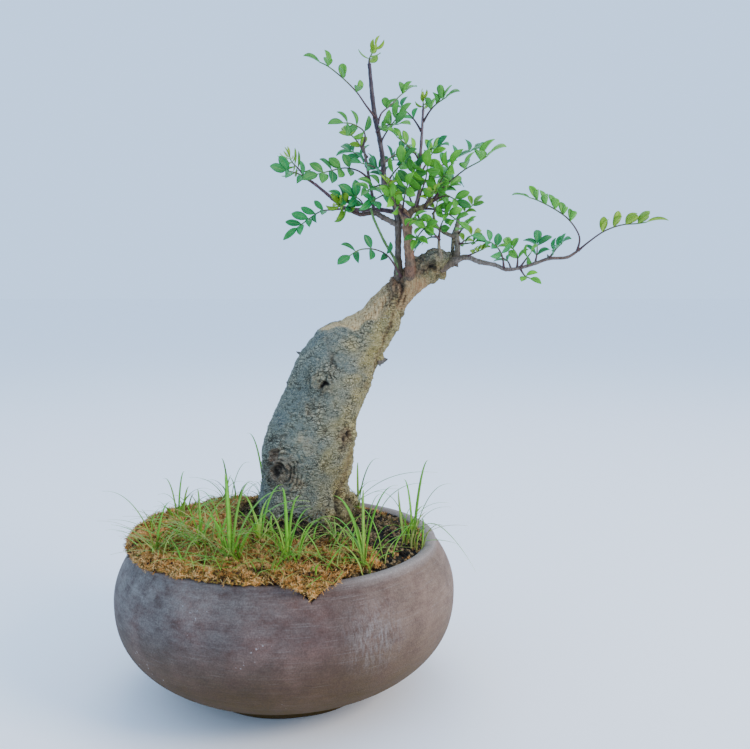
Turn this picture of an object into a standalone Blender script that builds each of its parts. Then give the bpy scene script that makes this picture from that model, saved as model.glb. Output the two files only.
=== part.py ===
"""Hubei ash bonsai: a leaning old trunk with pinnate leaves in a round clay bowl.

Metres, +Z up. The origin is the centre of the bowl's flat foot, on the surface that it
stands on, and the front is at -Y. The sizes below are in millimetres. The tree's routes are
written as they stand in the upright plane through the bowl's axis when looked at from
VIEW_POINT, each point with its own depth behind that plane.
"""

from collections import namedtuple
import math

import bmesh
import bpy
from mathutils import Matrix, Vector
from mathutils.bvhtree import BVHTree

MM = 0.001
UP = Vector((0.0, 0.0, 1.0))

# The gaps that touching pieces keep
GAP = 0.3
HOLE_GAP = 0.4

# Bowl
BOWL_RADIUS = 115.0
BELLY_Z = 67.0
BELLY_POWER = 2.34
RIM_RADIUS = 102.5
RIM_Z = 102.0
RIM_HEIGHT = 3.0
SHOULDER_RADIUS = RIM_RADIUS - 1.0
FOOT_RADIUS = 59.0
FOOT_HEIGHT = 7.0
WALL = 8.0
FLOOR_Z = 12.0
FLOOR_CORNER = 12.0
BOWL_STEPS = 36
DRAIN_HOLES = 3
DRAIN_RADIUS = 5.0
DRAIN_DISTANCE = 30.0
DRAIN_SIDES = 12

# Chip in the front of the rim
CHIP_RADIUS = 11.7
CHIP_X = 24.0
CHIP_Z = RIM_Z + 5.2
CHIP_SIDES = 20

# Soil
SOIL_EDGE_Z = 99.0
SOIL_MOUND = 10.0
SOIL_LUMP = 0.8
SOIL_RINGS = (0.0, 0.4, 0.75)

# Moss: the headings that it lies between, the rings of its mat, and its heights
MOSS_START = 96.0
MOSS_END = 318.0
MOSS_SPOKES = 16
MOSS_WANDER = 5.0
MOSS_RINGS = (6.0, 44.0, 70.0, 92.0, 96.0, 102.4)
MOSS_INSIDE = 90.0
MOSS_LEFT = 195.0
MOSS_FRONT = 283.0
MOSS_FRONT_HALF = 22.0
MOSS_RIM_FROM = 94.0
MOSS_OVER_RIM = 0.6
MOSS_OVER_SOIL = 0.9
MOSS_THICKNESS = 5.0
MOSS_EDGE = 2.4
MOSS_LUMP = 1.3
TONGUE_RADIUS = CHIP_RADIUS - 0.5
TONGUE_TOP = RIM_Z + 1.5

# Trunk: x, z, depth and radius along its middle
TRUNK = [
    (12, 117, 25, 34.0), (11, 127, 25, 32.0), (12, 142, 25, 30.3), (14, 158, 25, 31.3),
    (19, 174, 24, 29.3), (25, 192, 23, 26.6), (31, 209, 22, 26.0), (39, 225, 21, 24.5),
    (50, 236, 20, 19.0), (61, 247, 18, 14.5), (69, 259, 17, 11.6), (78, 270, 16, 11.5),
]
TRUNK_SIDES = 18
TRUNK_DEEP = 0.94
TRUNK_WAVE = 0.03
TRUNK_X = 10.0
TRUNK_Y = 25.0
TRUNK_LOW = 83.0
GROUND_Z = 111.0
LOBES_HEIGHT = 40.0
BASE_RADIUS = 34.5
HOLE_TOP = 150.0

# Where the routes of the tree are looked at from
VIEW_POINT = Vector((60.7, -575.0, 276.0))

# Branches: name, points added in each span, bevel steps, then x, z, depth and radius
BRANCHES = [
    ("arm", 2, 3, [(76, 266, 16, 11.0), (86, 275, 16, 10.0), (95, 283, 15, 10.2), (103, 289, 14, 9.6),
                   (109, 290, 14, 8.0), (115, 289, 14, 4.5)]),
    ("leader", 0, 1, [(77, 276, 14, 4.5), (76, 288, 12, 2.5), (76, 301, 10, 2.1),
                      (76, 314, 9, 2.6), (75, 319, 9, 2.0), (72, 330, 10, 1.9),
                      (67, 338, 12, 2.0), (66, 352, 13, 1.7), (64, 366, 13, 1.6),
                      (61, 380, 12, 1.5), (59, 394, 11, 1.3), (57, 415, 10, 0.9)]),
    ("left_limb", 1, 1, [(77, 311, 9, 2.0), (72, 314, 7, 1.9), (66, 317, 4, 1.8),
                         (60, 320, 2, 1.6), (51, 319, 0, 1.4), (43, 322, -2, 0.9)]),
    ("side_stub", 0, 1, [(76, 313, 9, 1.7), (79, 316, 11, 1.5), (80, 317, 12, 1.2)]),
    ("left_shoot", 0, 1, [(76, 320, 9, 1.7), (64, 322, 14, 1.5), (52, 322, 18, 1.4),
                          (41, 323, 22, 1.3), (33, 329, 23, 1.2), (22, 338, 23, 1.0),
                          (13, 344, 22, 0.8)]),
    ("slim_shoot", 0, 1, [(60, 318, 3, 1.3), (59, 330, 3, 1.1), (57, 341, 3, 1.0),
                          (55, 353, 2, 0.9), (53, 363, 1, 0.8)]),
    ("fork", 0, 1, [(84, 268, 8, 5.0), (84, 282, 5, 3.4), (83, 296, 4, 3.0),
                    (82, 310, 4, 3.1), (81, 318, 4, 3.3), (76, 324, 4, 2.3),
                    (73, 331, 4, 2.1), (70, 341, 4, 1.9)]),
    ("fork_limb", 1, 1, [(82, 317, 4, 2.7), (86, 322, 3, 2.2), (93, 324, 2, 1.8),
                         (99, 329, 1, 1.2)]),
    ("second_leader", 0, 1, [(87, 322, 4, 1.5), (90, 336, 7, 1.2), (90, 352, 9, 1.1),
                             (91, 366, 9, 1.0), (92, 386, 9, 0.8)]),
    ("green_stem", 0, 1, [(76, 280, 10, 1.2), (74, 289, 7, 1.0), (67, 301, 4, 0.9),
                          (60, 316, -4, 0.8), (58, 323, -7, 0.8)]),
    ("arm_upright", 0, 1, [(112, 286, 13, 4.0), (115, 294, 12, 2.2), (115, 301, 12, 1.9),
                           (114, 306, 12, 2.4), (115, 312, 13, 1.6), (116, 318, 13, 0.9)]),
    ("arm_side", 1, 1, [(115, 304, 12, 1.7), (107, 307, 9, 1.3), (101, 312, 6, 1.1),
                        (99, 320, 4, 0.8)]),
    ("arm_stub", 0, 1, [(104, 291, 8, 1.8), (103, 298, 5, 1.1), (103, 305, 3, 0.8)]),
    ("long_branch", 0, 1, [(112, 289, 13, 3.0), (121, 291, 12, 1.8), (130, 288, 10, 1.7),
                           (140, 286, 8, 1.4), (148, 283, 7, 1.3), (157, 284, 6, 1.2),
                           (167, 287, 5, 1.2), (176, 290, 4, 1.1), (188, 291, 3, 1.0),
                           (196, 296, 2, 0.8)]),
]

# Knots and burrs: x, z, depth and radius
KNOTS = [
    (-7, 158, 5, 6.5), (-4, 146, 4, 10.5), (26, 208, 2, 7.5), (43, 172, 12, 7.0),
    (16, 188, 3, 5.0), (106, 282, 12, 6.6), (100, 293, 12, 6.0), (88, 272, 9, 7.5),
    (114, 305, 12, 3.0), (41, 128, 34, 10.0), (69, 248, 11, 8.5),
]

# Thorn stubs: root and tip, each x, z and depth
THORNS = [
    ((12, 226, 20), (5, 230, 18)), ((5, 206, 20), (-2, 209, 18)),
    ((-9, 172, 22), (-15, 176, 20)), ((64, 222, 18), (73, 225, 16)),
    ((130, 288, 10), (131, 285, 9)), ((176, 290, 4), (174, 295, 5)),
]
THORN_RADII = (2.0, 0.5)

# Leaves: name, stalk as (x, z), its depth at the foot and the tip, pairs of leaflets, their
# length and width, how far the leaf faces the viewer, how far its sides fold up, and its kind
LEAVES = [
    ("leaf_top_left", [(61, 381), (54, 390), (49, 397), (41, 405), (31, 413), (25, 416)],
     11, -4, 3, 9.5, 5.5, 50, 25, "green"),
    ("leaf_top_right", [(62, 377), (65, 384), (71, 389), (77, 395), (81, 398)],
     12, 28, 2, 9.0, 5.1, 50, 25, "green"),
    ("tuft_leader", [(57, 415), (57, 418), (59, 422)], 10, 8, 2, 9.5, 4.8, 70, 5, "young"),
    ("leaf_second_right", [(92, 379), (97, 386), (102, 391), (108, 395)],
     9, -8, 3, 9.0, 5.0, 50, 25, "green"),
    ("leaf_second_left", [(91, 373), (86, 380), (80, 386), (76, 389)],
     9, 26, 2, 8.0, 4.6, 60, 20, "blue"),
    ("tuft_second", [(92, 386), (92, 389), (92, 391)], 9, 7, 2, 7.5, 3.7, 70, 5, "young"),
    ("leaf_slim_left", [(53, 363), (54, 369), (52, 374), (45, 378), (39, 379)],
     1, -16, 3, 11.0, 6.8, 60, 10, "green"),
    ("leaf_leader_right", [(64, 365), (67, 370), (71, 376), (76, 382)],
     13, 0, 3, 9.5, 5.3, 60, 20, "green"),
    ("leaf_between", [(90, 353), (87, 358), (81, 364), (75, 369)],
     9, -14, 3, 8.5, 4.8, 45, 25, "green"),
    ("leaf_inner_low", [(90, 348), (83, 352), (76, 354), (71, 354)],
     9, 34, 2, 8.0, 4.6, 60, 20, "blue"),
    ("leaf_slim_mid", [(55, 353), (50, 357), (45, 360)], 2, 14, 2, 9.0, 5.3, 60, 15, "blue"),
    ("leaf_left_high", [(57, 342), (50, 347), (41, 349), (31, 347), (23, 345)],
     3, -22, 4, 10.0, 5.7, 60, 20, "green"),
    ("leaf_left_end", [(19, 340), (11, 345), (3, 347)], 22, 8, 2, 9.5, 5.5, 55, 20, "blue"),
    ("tuft_left", [(14, 344), (10, 349), (7, 352), (5, 355)], 22, 34, 2, 8.5, 4.2, 70, 5, "young"),
    ("tuft_limb", [(43, 322), (37, 325), (34, 328)], -2, -10, 2, 9.0, 4.6, 40, 10, "young"),
    ("leaf_limb_up", [(53, 319), (52, 327), (47, 331)], 0, -8, 2, 11.0, 6.8, 65, 15, "blue"),
    ("leaf_left_low", [(41, 323), (33, 322), (25, 321), (17, 316), (9, 310)],
     22, 6, 4, 9.5, 5.3, 45, 25, "blue"),
    ("leaf_low_left", [(76, 281), (70, 291), (61, 296), (51, 296), (44, 292)],
     8, -20, 3, 9.5, 6.6, 65, 20, "blue"),
    ("leaf_right_big", [(99, 329), (105, 336), (112, 342), (121, 349), (130, 354), (136, 358)],
     1, -26, 3, 12.5, 7.3, 50, 30, "green"),
    ("leaf_right_back", [(90, 346), (103, 350), (115, 356), (126, 361)],
     8, 44, 3, 9.5, 5.5, 50, 30, "blue"),
    ("leaf_heart_front", [(88, 322), (91, 333), (94, 342), (95, 350)],
     3, -24, 3, 11.0, 6.4, 60, 20, "green"),
    ("leaf_heart_side", [(94, 325), (100, 334), (104, 341), (108, 347)],
     2, -30, 3, 10.5, 6.2, 60, 20, "green"),
    ("leaf_heart_left", [(71, 335), (64, 338), (57, 336), (52, 334)],
     4, -28, 3, 10.0, 5.7, 60, 20, "green"),
    ("leaf_heart_up", [(70, 341), (73, 346), (79, 352)], 4, -14, 2, 10.5, 5.9, 60, 20, "green"),
    ("leaf_heart_back", [(90, 338), (97, 342), (104, 343), (110, 341)],
     7, 30, 3, 10.0, 5.7, 45, 25, "blue"),
    ("leaf_heart_low", [(87, 322), (83, 331), (84, 339), (88, 345)],
     3, -14, 3, 10.0, 5.7, 60, 20, "green"),
    ("leaf_limb_end", [(99, 328), (107, 331), (114, 328)], 1, -8, 2, 8.5, 4.8, 55, 20, "green"),
    ("leaf_limb_low", [(94, 323), (103, 322), (109, 319), (114, 315)],
     2, -18, 3, 8.5, 5.1, 55, 20, "green"),
    ("leaf_arm_tip", [(116, 317), (121, 321), (126, 326)], 13, 20, 2, 7.5, 4.2, 40, 20, "young"),
    ("leaf_arm_right", [(115, 306), (120, 311), (125, 315)], 12, -2, 2, 7.5, 4.4, 50, 20, "green"),
    ("leaf_arm_low", [(115, 298), (120, 302), (126, 306)], 12, 26, 2, 7.0, 4.2, 50, 20, "young"),
    ("leaf_fork_low", [(88, 321), (91, 314), (95, 310)], 3, -16, 2, 9.0, 5.5, 60, 15, "green"),
    ("leaf_fern", [(121, 291), (127, 294), (134, 297)], 12, 2, 3, 5.5, 2.8, 45, 30, "young"),
    ("leaf_side_up", [(99, 319), (101, 324), (102, 328)], 4, 12, 2, 8.0, 4.6, 50, 15, "young"),
    ("leaf_side_left", [(101, 311), (95, 311), (90, 306), (88, 302)],
     6, -10, 2, 8.5, 5.3, 60, 15, "green"),
    ("leaf_stub", [(103, 304), (97, 304), (91, 301)], 3, 16, 2, 8.0, 4.8, 55, 20, "blue"),
    ("leaf_arch", [(195, 296), (196, 303), (193, 310), (187, 317), (178, 323), (168, 328),
                   (162, 330)], 2, -14, 5, 9.5, 6.4, 45, 25, "green"),
    ("leaf_end", [(196, 296), (202, 301), (212, 308), (223, 312), (234, 313), (240, 314)],
     2, -10, 4, 10.5, 6.8, 40, 35, "young"),
    ("leaf_branch_a", [(146, 284), (145, 292), (141, 298), (135, 301)],
     7, -6, 3, 8.5, 5.1, 55, 20, "blue"),
    ("leaf_branch_b", [(155, 284), (155, 292), (151, 298)], 6, 18, 2, 8.5, 5.1, 50, 20, "green"),
    ("leaf_branch_c", [(157, 284), (161, 290), (164, 294)], 6, -6, 1, 7.5, 4.6, 55, 15, "green"),
    ("leaf_branch_d", [(167, 287), (168, 294), (168, 300)], 5, 14, 2, 9.5, 5.5, 60, 10, "blue"),
    ("leaf_branch_e", [(176, 290), (181, 297), (186, 302)], 4, -10, 3, 8.0, 4.8, 50, 20, "blue"),
    ("leaf_branch_f", [(151, 283), (149, 288), (145, 291)], 7, 22, 1, 7.5, 4.4, 50, 15, "blue"),
    ("leaf_branch_low", [(157, 284), (160, 279), (164, 277)], 6, 0, 1, 7.0, 4.2, 40, 15, "green"),
]
STALK_WIDTH = 0.55
STALK_HEIGHT = 0.45
STALK_TAPER = 0.25
STALK_LEAVING = 1.5
SHORTEST_SPAN = 3.0
SHARP_BEND = 0.3
BEND_EASE = 0.7
SEAT_REACH = 4.0
BLADE = 0.6
BLADE_SECTIONS = ((0.34, 0.50, 0.04), (0.76, 0.40, 0.03))
TIP_DROP = 0.03
PAIR_ANGLE = 62.0
PAIR_CLOSING = 3.0
PAIR_SHRINKING = 0.08
FIRST_PAIR = 0.40
LAST_PAIR = 0.88
SINGLE_PAIR = 0.62
END_LEAFLET = 1.1
NARROWER = (1.0, 0.94, 0.88, 0.82, 0.76, 0.7, 0.64, 0.58, 0.52)
SWINGS = (0, 6, -6, 12, -12, 18, -18, 24, -24, 30, -30, 38, -38, 46, -46, 55, -55)

# Grass: name, root x and y, then for each blade its heading, reach, height and width
GRASS = [
    ("grass_front_left", -26, -72, [(112, 26, 46, 3.2), (60, 18, 44, 2.2), (28, 36, 38, 3.0),
                                    (150, 26, 26, 1.8), (330, 24, 24, 1.8)]),
    ("grass_left_middle", -50, -44, [(164, 20, 28, 1.8), (36, 28, 26, 2.0), (284, 20, 20, 1.8),
                                     (100, 16, 30, 1.6)]),
    ("grass_left_rim", -78, -46, [(165, 38, 34, 1.4), (70, 18, 26, 1.6), (300, 26, 16, 1.8),
                                  (350, 34, 20, 1.6)]),
    ("grass_left_back", -80, 24, [(150, 12, 26, 1.6), (70, 10, 30, 1.6), (330, 26, 22, 1.6)]),
    ("grass_back_left", -50, 66, [(133, 14, 30, 1.8), (24, 16, 28, 1.8), (226, 18, 18, 1.6)]),
    ("grass_behind", -24, 76, [(140, 20, 48, 2.0), (40, 16, 30, 1.6)]),
    ("grass_middle", -12, -46, [(136, 22, 26, 1.8), (52, 22, 30, 1.8), (226, 20, 18, 1.8)]),
    ("grass_front", 8, -74, [(95, 10, 40, 2.2), (150, 18, 26, 2.0), (40, 20, 26, 2.0),
                             (200, 26, 18, 1.8)]),
    ("grass_front_right", 54, -70, [(135, 30, 34, 3.0), (45, 26, 42, 1.8), (100, 12, 40, 2.0),
                                    (170, 26, 22, 1.8)]),
    ("grass_right", 86, -22, [(58, 28, 46, 2.2), (122, 12, 36, 1.8), (331, 44, -18, 1.8),
                              (10, 26, 34, 1.6)]),
    ("grass_right_back", 48, 66, [(350, 60, 24, 2.0), (100, 16, 26, 1.8), (40, 20, 30, 1.6)]),
]
TUFT_RADIUS = 2.4
TUFT_SIDES = 6
TUFT_LOW = 89.3
TUFT_ABOVE_SOIL = 9.0
BLADE_WIDTHS = (0.5, 1.0, 0.78, 0.28)
BLADE_KEEL = 0.8
BLADE_LEAN = 1.4
BLADE_START = 1.1
BLADE_ROOT = 1.2
HANGING_RISE = 14.0

# Colour as sRGB and roughness of each kind of piece
COLOURS = {
    "pot": ("6F6163", 0.8), "soil": ("3A332C", 0.95), "moss": ("9A7438", 0.95),
    "wood": ("8A8272", 0.85), "green": ("5BAE33", 0.5), "blue": ("3E9E63", 0.5),
    "young": ("8DBB38", 0.5), "grass": ("7CC338", 0.5),
}
SHARP_FROM = 40.0

Ring = namedtuple("Ring", "corners normal side place tangent pair")


def start_scene():
    """Empty the scene and make the collections."""
    for item in list(bpy.data.objects):
        bpy.data.objects.remove(item, do_unlink=True)
    collections = []
    for name in ("hubei_ash_bonsai", "cutters", "repeats"):
        made = bpy.data.collections.new(name)
        bpy.context.scene.collection.children.link(made)
        collections.append(made)
    return collections


PARTS, CUTTERS, REPEATS = start_scene()


def linear(channel):
    """Turn one sRGB channel into linear light."""
    if channel <= 0.04045:
        return channel / 12.92
    return ((channel + 0.055) / 1.055) ** 2.4


def material(kind):
    """Return the plain material of one kind of piece."""
    found = bpy.data.materials.get(kind)
    if found:
        return found
    colour, roughness = COLOURS[kind]
    channels = [linear(int(colour[i:i + 2], 16) / 255) for i in (0, 2, 4)]
    made = bpy.data.materials.new(kind)
    made.use_nodes = True
    shader = made.node_tree.nodes["Principled BSDF"]
    shader.inputs["Base Color"].default_value = (*channels, 1.0)
    shader.inputs["Roughness"].default_value = roughness
    shader.inputs["Metallic"].default_value = 0.0
    return made


def add_object(name, mesh, collection, kind=None):
    """Put a mesh into the scene as a named object, with the material of its kind."""
    made = bpy.data.objects.new(name, mesh)
    collection.objects.link(made)
    mesh.name = name
    if kind:
        mesh.materials.clear()
        mesh.materials.append(material(kind))
    return made


def closed_mesh(shape):
    """Turn every face of a closed shape outward and store it as a mesh."""
    bmesh.ops.recalc_face_normals(shape, faces=shape.faces)
    if shape.calc_volume(signed=True) < 0.0:
        bmesh.ops.reverse_faces(shape, faces=shape.faces)
    mesh = bpy.data.meshes.new("shape")
    shape.to_mesh(mesh)
    shape.free()
    return mesh


def evaluated(item):
    """Return a plain mesh of an object with its modifiers applied."""
    bpy.context.view_layer.update()
    graph = bpy.context.evaluated_depsgraph_get()
    return bpy.data.meshes.new_from_object(item.evaluated_get(graph), depsgraph=graph)


def apply_modifiers(item):
    """Replace an object's mesh by its evaluated one and drop the modifiers."""
    mesh = evaluated(item)
    item.modifiers.clear()
    old = item.data
    name = old.name
    item.data = mesh
    bpy.data.meshes.remove(old)
    mesh.name = name


def discard(items):
    """Remove helper objects and their meshes."""
    for item in items:
        mesh = item.data
        bpy.data.objects.remove(item, do_unlink=True)
        bpy.data.meshes.remove(mesh)


def fuse(base, solver="MANIFOLD"):
    """Join the objects of the repeats collection to a base by one Boolean union."""
    union = base.modifiers.new("union", "BOOLEAN")
    union.operation = "UNION"
    union.operand_type = "COLLECTION"
    union.collection = REPEATS
    union.solver = solver
    apply_modifiers(base)
    discard(list(REPEATS.objects))


def cut(base, cutters):
    """Cut solids out of an object and remove them."""
    for cutter in cutters:
        hole = base.modifiers.new("hole", "BOOLEAN")
        hole.operation = "DIFFERENCE"
        hole.object = cutter
    apply_modifiers(base)
    discard(cutters)


def heading_vector(degrees):
    """Return the level direction at an angle from +X."""
    angle = math.radians(degrees)
    return Vector((math.cos(angle), math.sin(angle), 0.0))


def seen(x, z, depth):
    """Return the point at a depth that lines up with (x, z) of the plane through the axis."""
    reach = 1.0 - depth / VIEW_POINT.y
    return Vector((VIEW_POINT.x + (x - VIEW_POINT.x) * reach, depth,
                   VIEW_POINT.z + (z - VIEW_POINT.z) * reach))


def smoothed(points, added):
    """Return points on a smooth curve through a route, with some added in each span."""
    ends = [points[0]] + list(points) + [points[-1]]
    result = []
    for a, b, c, d in zip(ends, ends[1:], ends[2:], ends[3:]):
        for i in range(added + 1):
            t = i / (added + 1)
            result.append(tuple(
                0.5 * (2 * q + (r - p) * t + (2 * p - 5 * q + 4 * r - s) * t ** 2
                       + (3 * q - p - 3 * r + s) * t ** 3)
                for p, q, r, s in zip(a, b, c, d)))
    result.append(tuple(points[-1]))
    return result


def tube(points, radii, resolution):
    """Add a tapered round tube to the repeats, from a curve with filled caps."""
    curve = bpy.data.curves.new("tube", "CURVE")
    curve.dimensions = "3D"
    curve.bevel_depth = MM
    curve.bevel_resolution = resolution
    curve.use_fill_caps = True
    spline = curve.splines.new("POLY")
    spline.points.add(len(points) - 1)
    for point, place, radius in zip(spline.points, points, radii):
        point.co = (*(Vector(place) * MM), 1.0)
        point.radius = radius
    holder = bpy.data.objects.new("tube", curve)
    REPEATS.objects.link(holder)
    shape = bmesh.new()
    rough = evaluated(holder)
    shape.from_mesh(rough)
    bpy.data.meshes.remove(rough)
    bpy.data.objects.remove(holder, do_unlink=True)
    bpy.data.curves.remove(curve)
    bmesh.ops.remove_doubles(shape, verts=shape.verts, dist=1e-6)
    return add_object("tube", closed_mesh(shape), REPEATS)


def turned(name, profile):
    """Turn a profile of (radius, height) round the bowl's axis."""
    mesh = bpy.data.meshes.new(name)
    mesh.from_pydata([(radius * MM, 0.0, height * MM) for radius, height in profile],
                     [(i, i + 1) for i in range(len(profile) - 1)], [])
    made = add_object(name, mesh, PARTS, name)
    screw = made.modifiers.new("turn", "SCREW")
    screw.steps = BOWL_STEPS
    screw.render_steps = BOWL_STEPS
    screw.use_merge_vertices = True
    screw.merge_threshold = 1e-5
    apply_modifiers(made)
    return made


def cylinder(radius, length, sides, place, collection):
    """Make a cylinder at a place, which is a matrix in millimetres."""
    shape = bmesh.new()
    place = place.copy()
    place.translation *= MM
    bmesh.ops.create_cone(shape, cap_ends=True, segments=sides, radius1=radius * MM,
                          radius2=radius * MM, depth=length * MM, matrix=place)
    return add_object("cylinder", closed_mesh(shape), collection)


def post(radius, spot, low, high, sides, collection=CUTTERS):
    """Make an upright cylinder at a spot, between two heights."""
    place = Matrix.Translation((spot[0], spot[1], (low + high) / 2))
    return cylinder(radius, high - low, sides, place, collection)


def chip_cylinder(radius, near, far, collection):
    """Make a cylinder along the radius of the bowl through the chip in its rim."""
    outward = Vector((CHIP_X, -math.sqrt(RIM_RADIUS ** 2 - CHIP_X ** 2), 0.0)).normalized()
    turn = outward.to_track_quat("Z", "Y").to_matrix().to_4x4()
    place = Matrix.Translation(outward * (near + far) / 2 + UP * CHIP_Z) @ turn
    return cylinder(radius, far - near, CHIP_SIDES, place, collection)


def belly(share):
    """Return a point of the bowl below its widest ring, from 0 there to 1 at the foot."""
    down = share ** 0.85 * (1.0 - FOOT_HEIGHT / BELLY_Z)
    radius = BOWL_RADIUS * (1.0 - down ** BELLY_POWER) ** (1.0 / BELLY_POWER)
    return radius, BELLY_Z * (1.0 - down)


def shoulder(share):
    """Return a point of the bowl above its widest ring, from 0 there to 1 at the rim."""
    full = math.acos(SHOULDER_RADIUS / BOWL_RADIUS)
    rise = (RIM_Z - RIM_HEIGHT - BELLY_Z) * math.sin(share * full) / math.sin(full)
    return BOWL_RADIUS * math.cos(share * full), BELLY_Z + rise


def inner_wall(inset):
    """Return the inside of the bowl from its floor to its rim, moved in by an inset."""
    points = []
    for share in (0.75, 0.5, 0.25):
        radius, height = belly(share)
        points.append((radius - WALL - inset, height + 2.0))
    for share in (0.0, 1.0):
        radius, height = shoulder(share)
        points.append((radius - WALL - inset, height))
    return points


def make_pot():
    """Make the clay bowl with its drain holes and its chipped rim."""
    inside = inner_wall(0.0)
    floor = [(0.0, FLOOR_Z), (inside[0][0] - FLOOR_CORNER, FLOOR_Z)]
    rim = [(RIM_RADIUS - WALL + 1.5, RIM_Z - 0.8), (RIM_RADIUS - 3.5, RIM_Z),
           (RIM_RADIUS - 1.0, RIM_Z - 0.8)]
    outside = [shoulder(share) for share in (1.0, 0.5, 0.0)]
    outside += [belly(share) for share in (0.25, 0.5, 0.75, 1.0)]
    foot = [(FOOT_RADIUS, FOOT_HEIGHT - 1.5), (FOOT_RADIUS, 0.0), (0.0, 0.0)]
    pot = turned("pot", floor + inside + rim + outside + foot)
    cutters = [chip_cylinder(CHIP_RADIUS, RIM_RADIUS - 20.0, RIM_RADIUS + 8.0, CUTTERS)]
    for hole in range(DRAIN_HOLES):
        spot = heading_vector(90 + 360 * hole / DRAIN_HOLES) * DRAIN_DISTANCE
        cutters.append(post(DRAIN_RADIUS, spot, -2.0, FLOOR_Z + 2.0, DRAIN_SIDES))
    cut(pot, cutters)
    return pot


def base_radius(angle):
    """Return the trunk's radius at the soil, with its root lobes."""
    return BASE_RADIUS + 2.0 * math.cos(3 * angle + 0.6) + 1.2 * math.cos(5 * angle - 1.0)


def soil_height(x, y):
    """Return the height of the soil's surface."""
    share = min(1.0, math.hypot(x, y) / (RIM_RADIUS - WALL))
    lumps = SOIL_LUMP * math.sin(x / 9.0 + 1.0) * math.cos(y / 11.0) * (1.0 - share ** 4)
    return SOIL_EDGE_Z + SOIL_MOUND * (1.0 - share ** 2) + lumps


def trunk_hole():
    """Make the plain hole that the trunk's foot stands in, a little wider than the foot."""
    shape = bmesh.new()
    outline = []
    for i in range(TRUNK_SIDES):
        angle = 2 * math.pi * i / TRUNK_SIDES
        radius = base_radius(angle) + HOLE_GAP
        spot = Vector((TRUNK_X + radius * math.cos(angle), TRUNK_Y + radius * math.sin(angle),
                       TRUNK_LOW - HOLE_GAP))
        outline.append(shape.verts.new(spot * MM))
    foot = shape.faces.new(outline)
    raised = bmesh.ops.extrude_face_region(shape, geom=[foot], use_keep_orig=True)["geom"]
    top = [item for item in raised if isinstance(item, bmesh.types.BMVert)]
    bmesh.ops.translate(shape, verts=top, vec=UP * (HOLE_TOP - TRUNK_LOW) * MM)
    return add_object("trunk_hole", closed_mesh(shape), CUTTERS)


def root_holes():
    """Make the plain holes that the trunk and the grass stand in."""
    holes = [trunk_hole()]
    for name, x, y, blades in GRASS:
        holes.append(post(TUFT_RADIUS + HOLE_GAP, (x, y), TUFT_LOW - GAP, HOLE_TOP, TUFT_SIDES))
    return holes


def make_soil():
    """Make the soil that fills the bowl, with its holes for roots."""
    wall = inner_wall(GAP)
    edge = wall[-1][0]
    top = [(edge * share, SOIL_EDGE_Z + 5.0) for share in SOIL_RINGS]
    bottom = [(wall[0][0] - FLOOR_CORNER, FLOOR_Z + GAP), (0.0, FLOOR_Z + GAP)]
    soil = turned("soil", top + [(edge, SOIL_EDGE_Z)] + wall[-2::-1] + bottom)
    for vertex in soil.data.vertices:
        if vertex.co.z > (SOIL_EDGE_Z - 0.5) * MM:
            vertex.co.z = soil_height(vertex.co.x / MM, vertex.co.y / MM) * MM
    cut(soil, root_holes())
    return soil


def moss_reach(heading):
    """Return how far the moss reaches from the bowl's axis: over the rim at left and front."""
    left = max(0.0, math.cos(math.radians(heading - MOSS_LEFT))) ** 0.5
    off_front = min(MOSS_FRONT_HALF, abs(heading - MOSS_FRONT)) / MOSS_FRONT_HALF
    front = math.cos(off_front * math.pi / 2)
    return MOSS_INSIDE + (MOSS_RINGS[-1] - MOSS_INSIDE) * max(min(1.0, 1.6 * left), front)


def moss_spot(spoke, step):
    """Return one point of the underside of the moss, clear of the soil and of the rim."""
    heading = MOSS_START + (MOSS_END - MOSS_START) * spoke / MOSS_SPOKES
    reach = moss_reach(heading)
    distance = MOSS_RINGS[step]
    if reach < 0.99 * MOSS_RINGS[-1]:
        distance = min(distance, reach - 1.6 * (len(MOSS_RINGS) - 1 - step))
    if spoke in (0, MOSS_SPOKES):
        heading += MOSS_WANDER * math.sin(distance / 9.0)
    spot = heading_vector(heading) * distance
    if distance > MOSS_RIM_FROM:
        spot.z = RIM_Z + MOSS_OVER_RIM
    else:
        spot.z = soil_height(spot.x, spot.y) + MOSS_OVER_SOIL
    return spot


def moss_thickness(spot, at_border):
    """Return how thick the moss is over a spot of its underside."""
    if at_border:
        return MOSS_EDGE
    return MOSS_THICKNESS + MOSS_LUMP * math.sin(spot.x / 5.0) * math.sin(spot.y / 6.0 + 1.0)


def moss_mat():
    """Make the mat of moss as a net of spokes and rings, raised to its thickness."""
    last = len(MOSS_RINGS) - 1
    shape = bmesh.new()
    nets = ([], [])
    for spoke in range(MOSS_SPOKES + 1):
        rows = ([], [])
        for step in range(last + 1):
            spot = moss_spot(spoke, step)
            at_border = step == last or spoke in (0, MOSS_SPOKES)
            rows[0].append(shape.verts.new(spot * MM))
            spot += UP * moss_thickness(spot, at_border)
            rows[1].append(shape.verts.new(spot * MM))
        nets[0].append(rows[0])
        nets[1].append(rows[1])
    for net in nets:
        for left, right in zip(net, net[1:]):
            for step in range(last):
                shape.faces.new((left[step], left[step + 1], right[step + 1]))
                shape.faces.new((left[step], right[step + 1], right[step]))
    open_edges = [edge for edge in shape.edges if len(edge.link_faces) == 1]
    bmesh.ops.bridge_loops(shape, edges=open_edges)
    return closed_mesh(shape)


def make_moss():
    """Make the moss over the left and the front of the soil, with the tongue in the chip."""
    moss = add_object("moss", moss_mat(), PARTS, "moss")
    tongue = chip_cylinder(TONGUE_RADIUS, RIM_RADIUS - 6.6, RIM_RADIUS + 1.4, REPEATS)
    cut(tongue, [post(BOWL_RADIUS, (0.0, 0.0), TONGUE_TOP, TONGUE_TOP + 40.0, 8)])
    fuse(moss, "EXACT")
    cut(moss, root_holes())
    return moss


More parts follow.
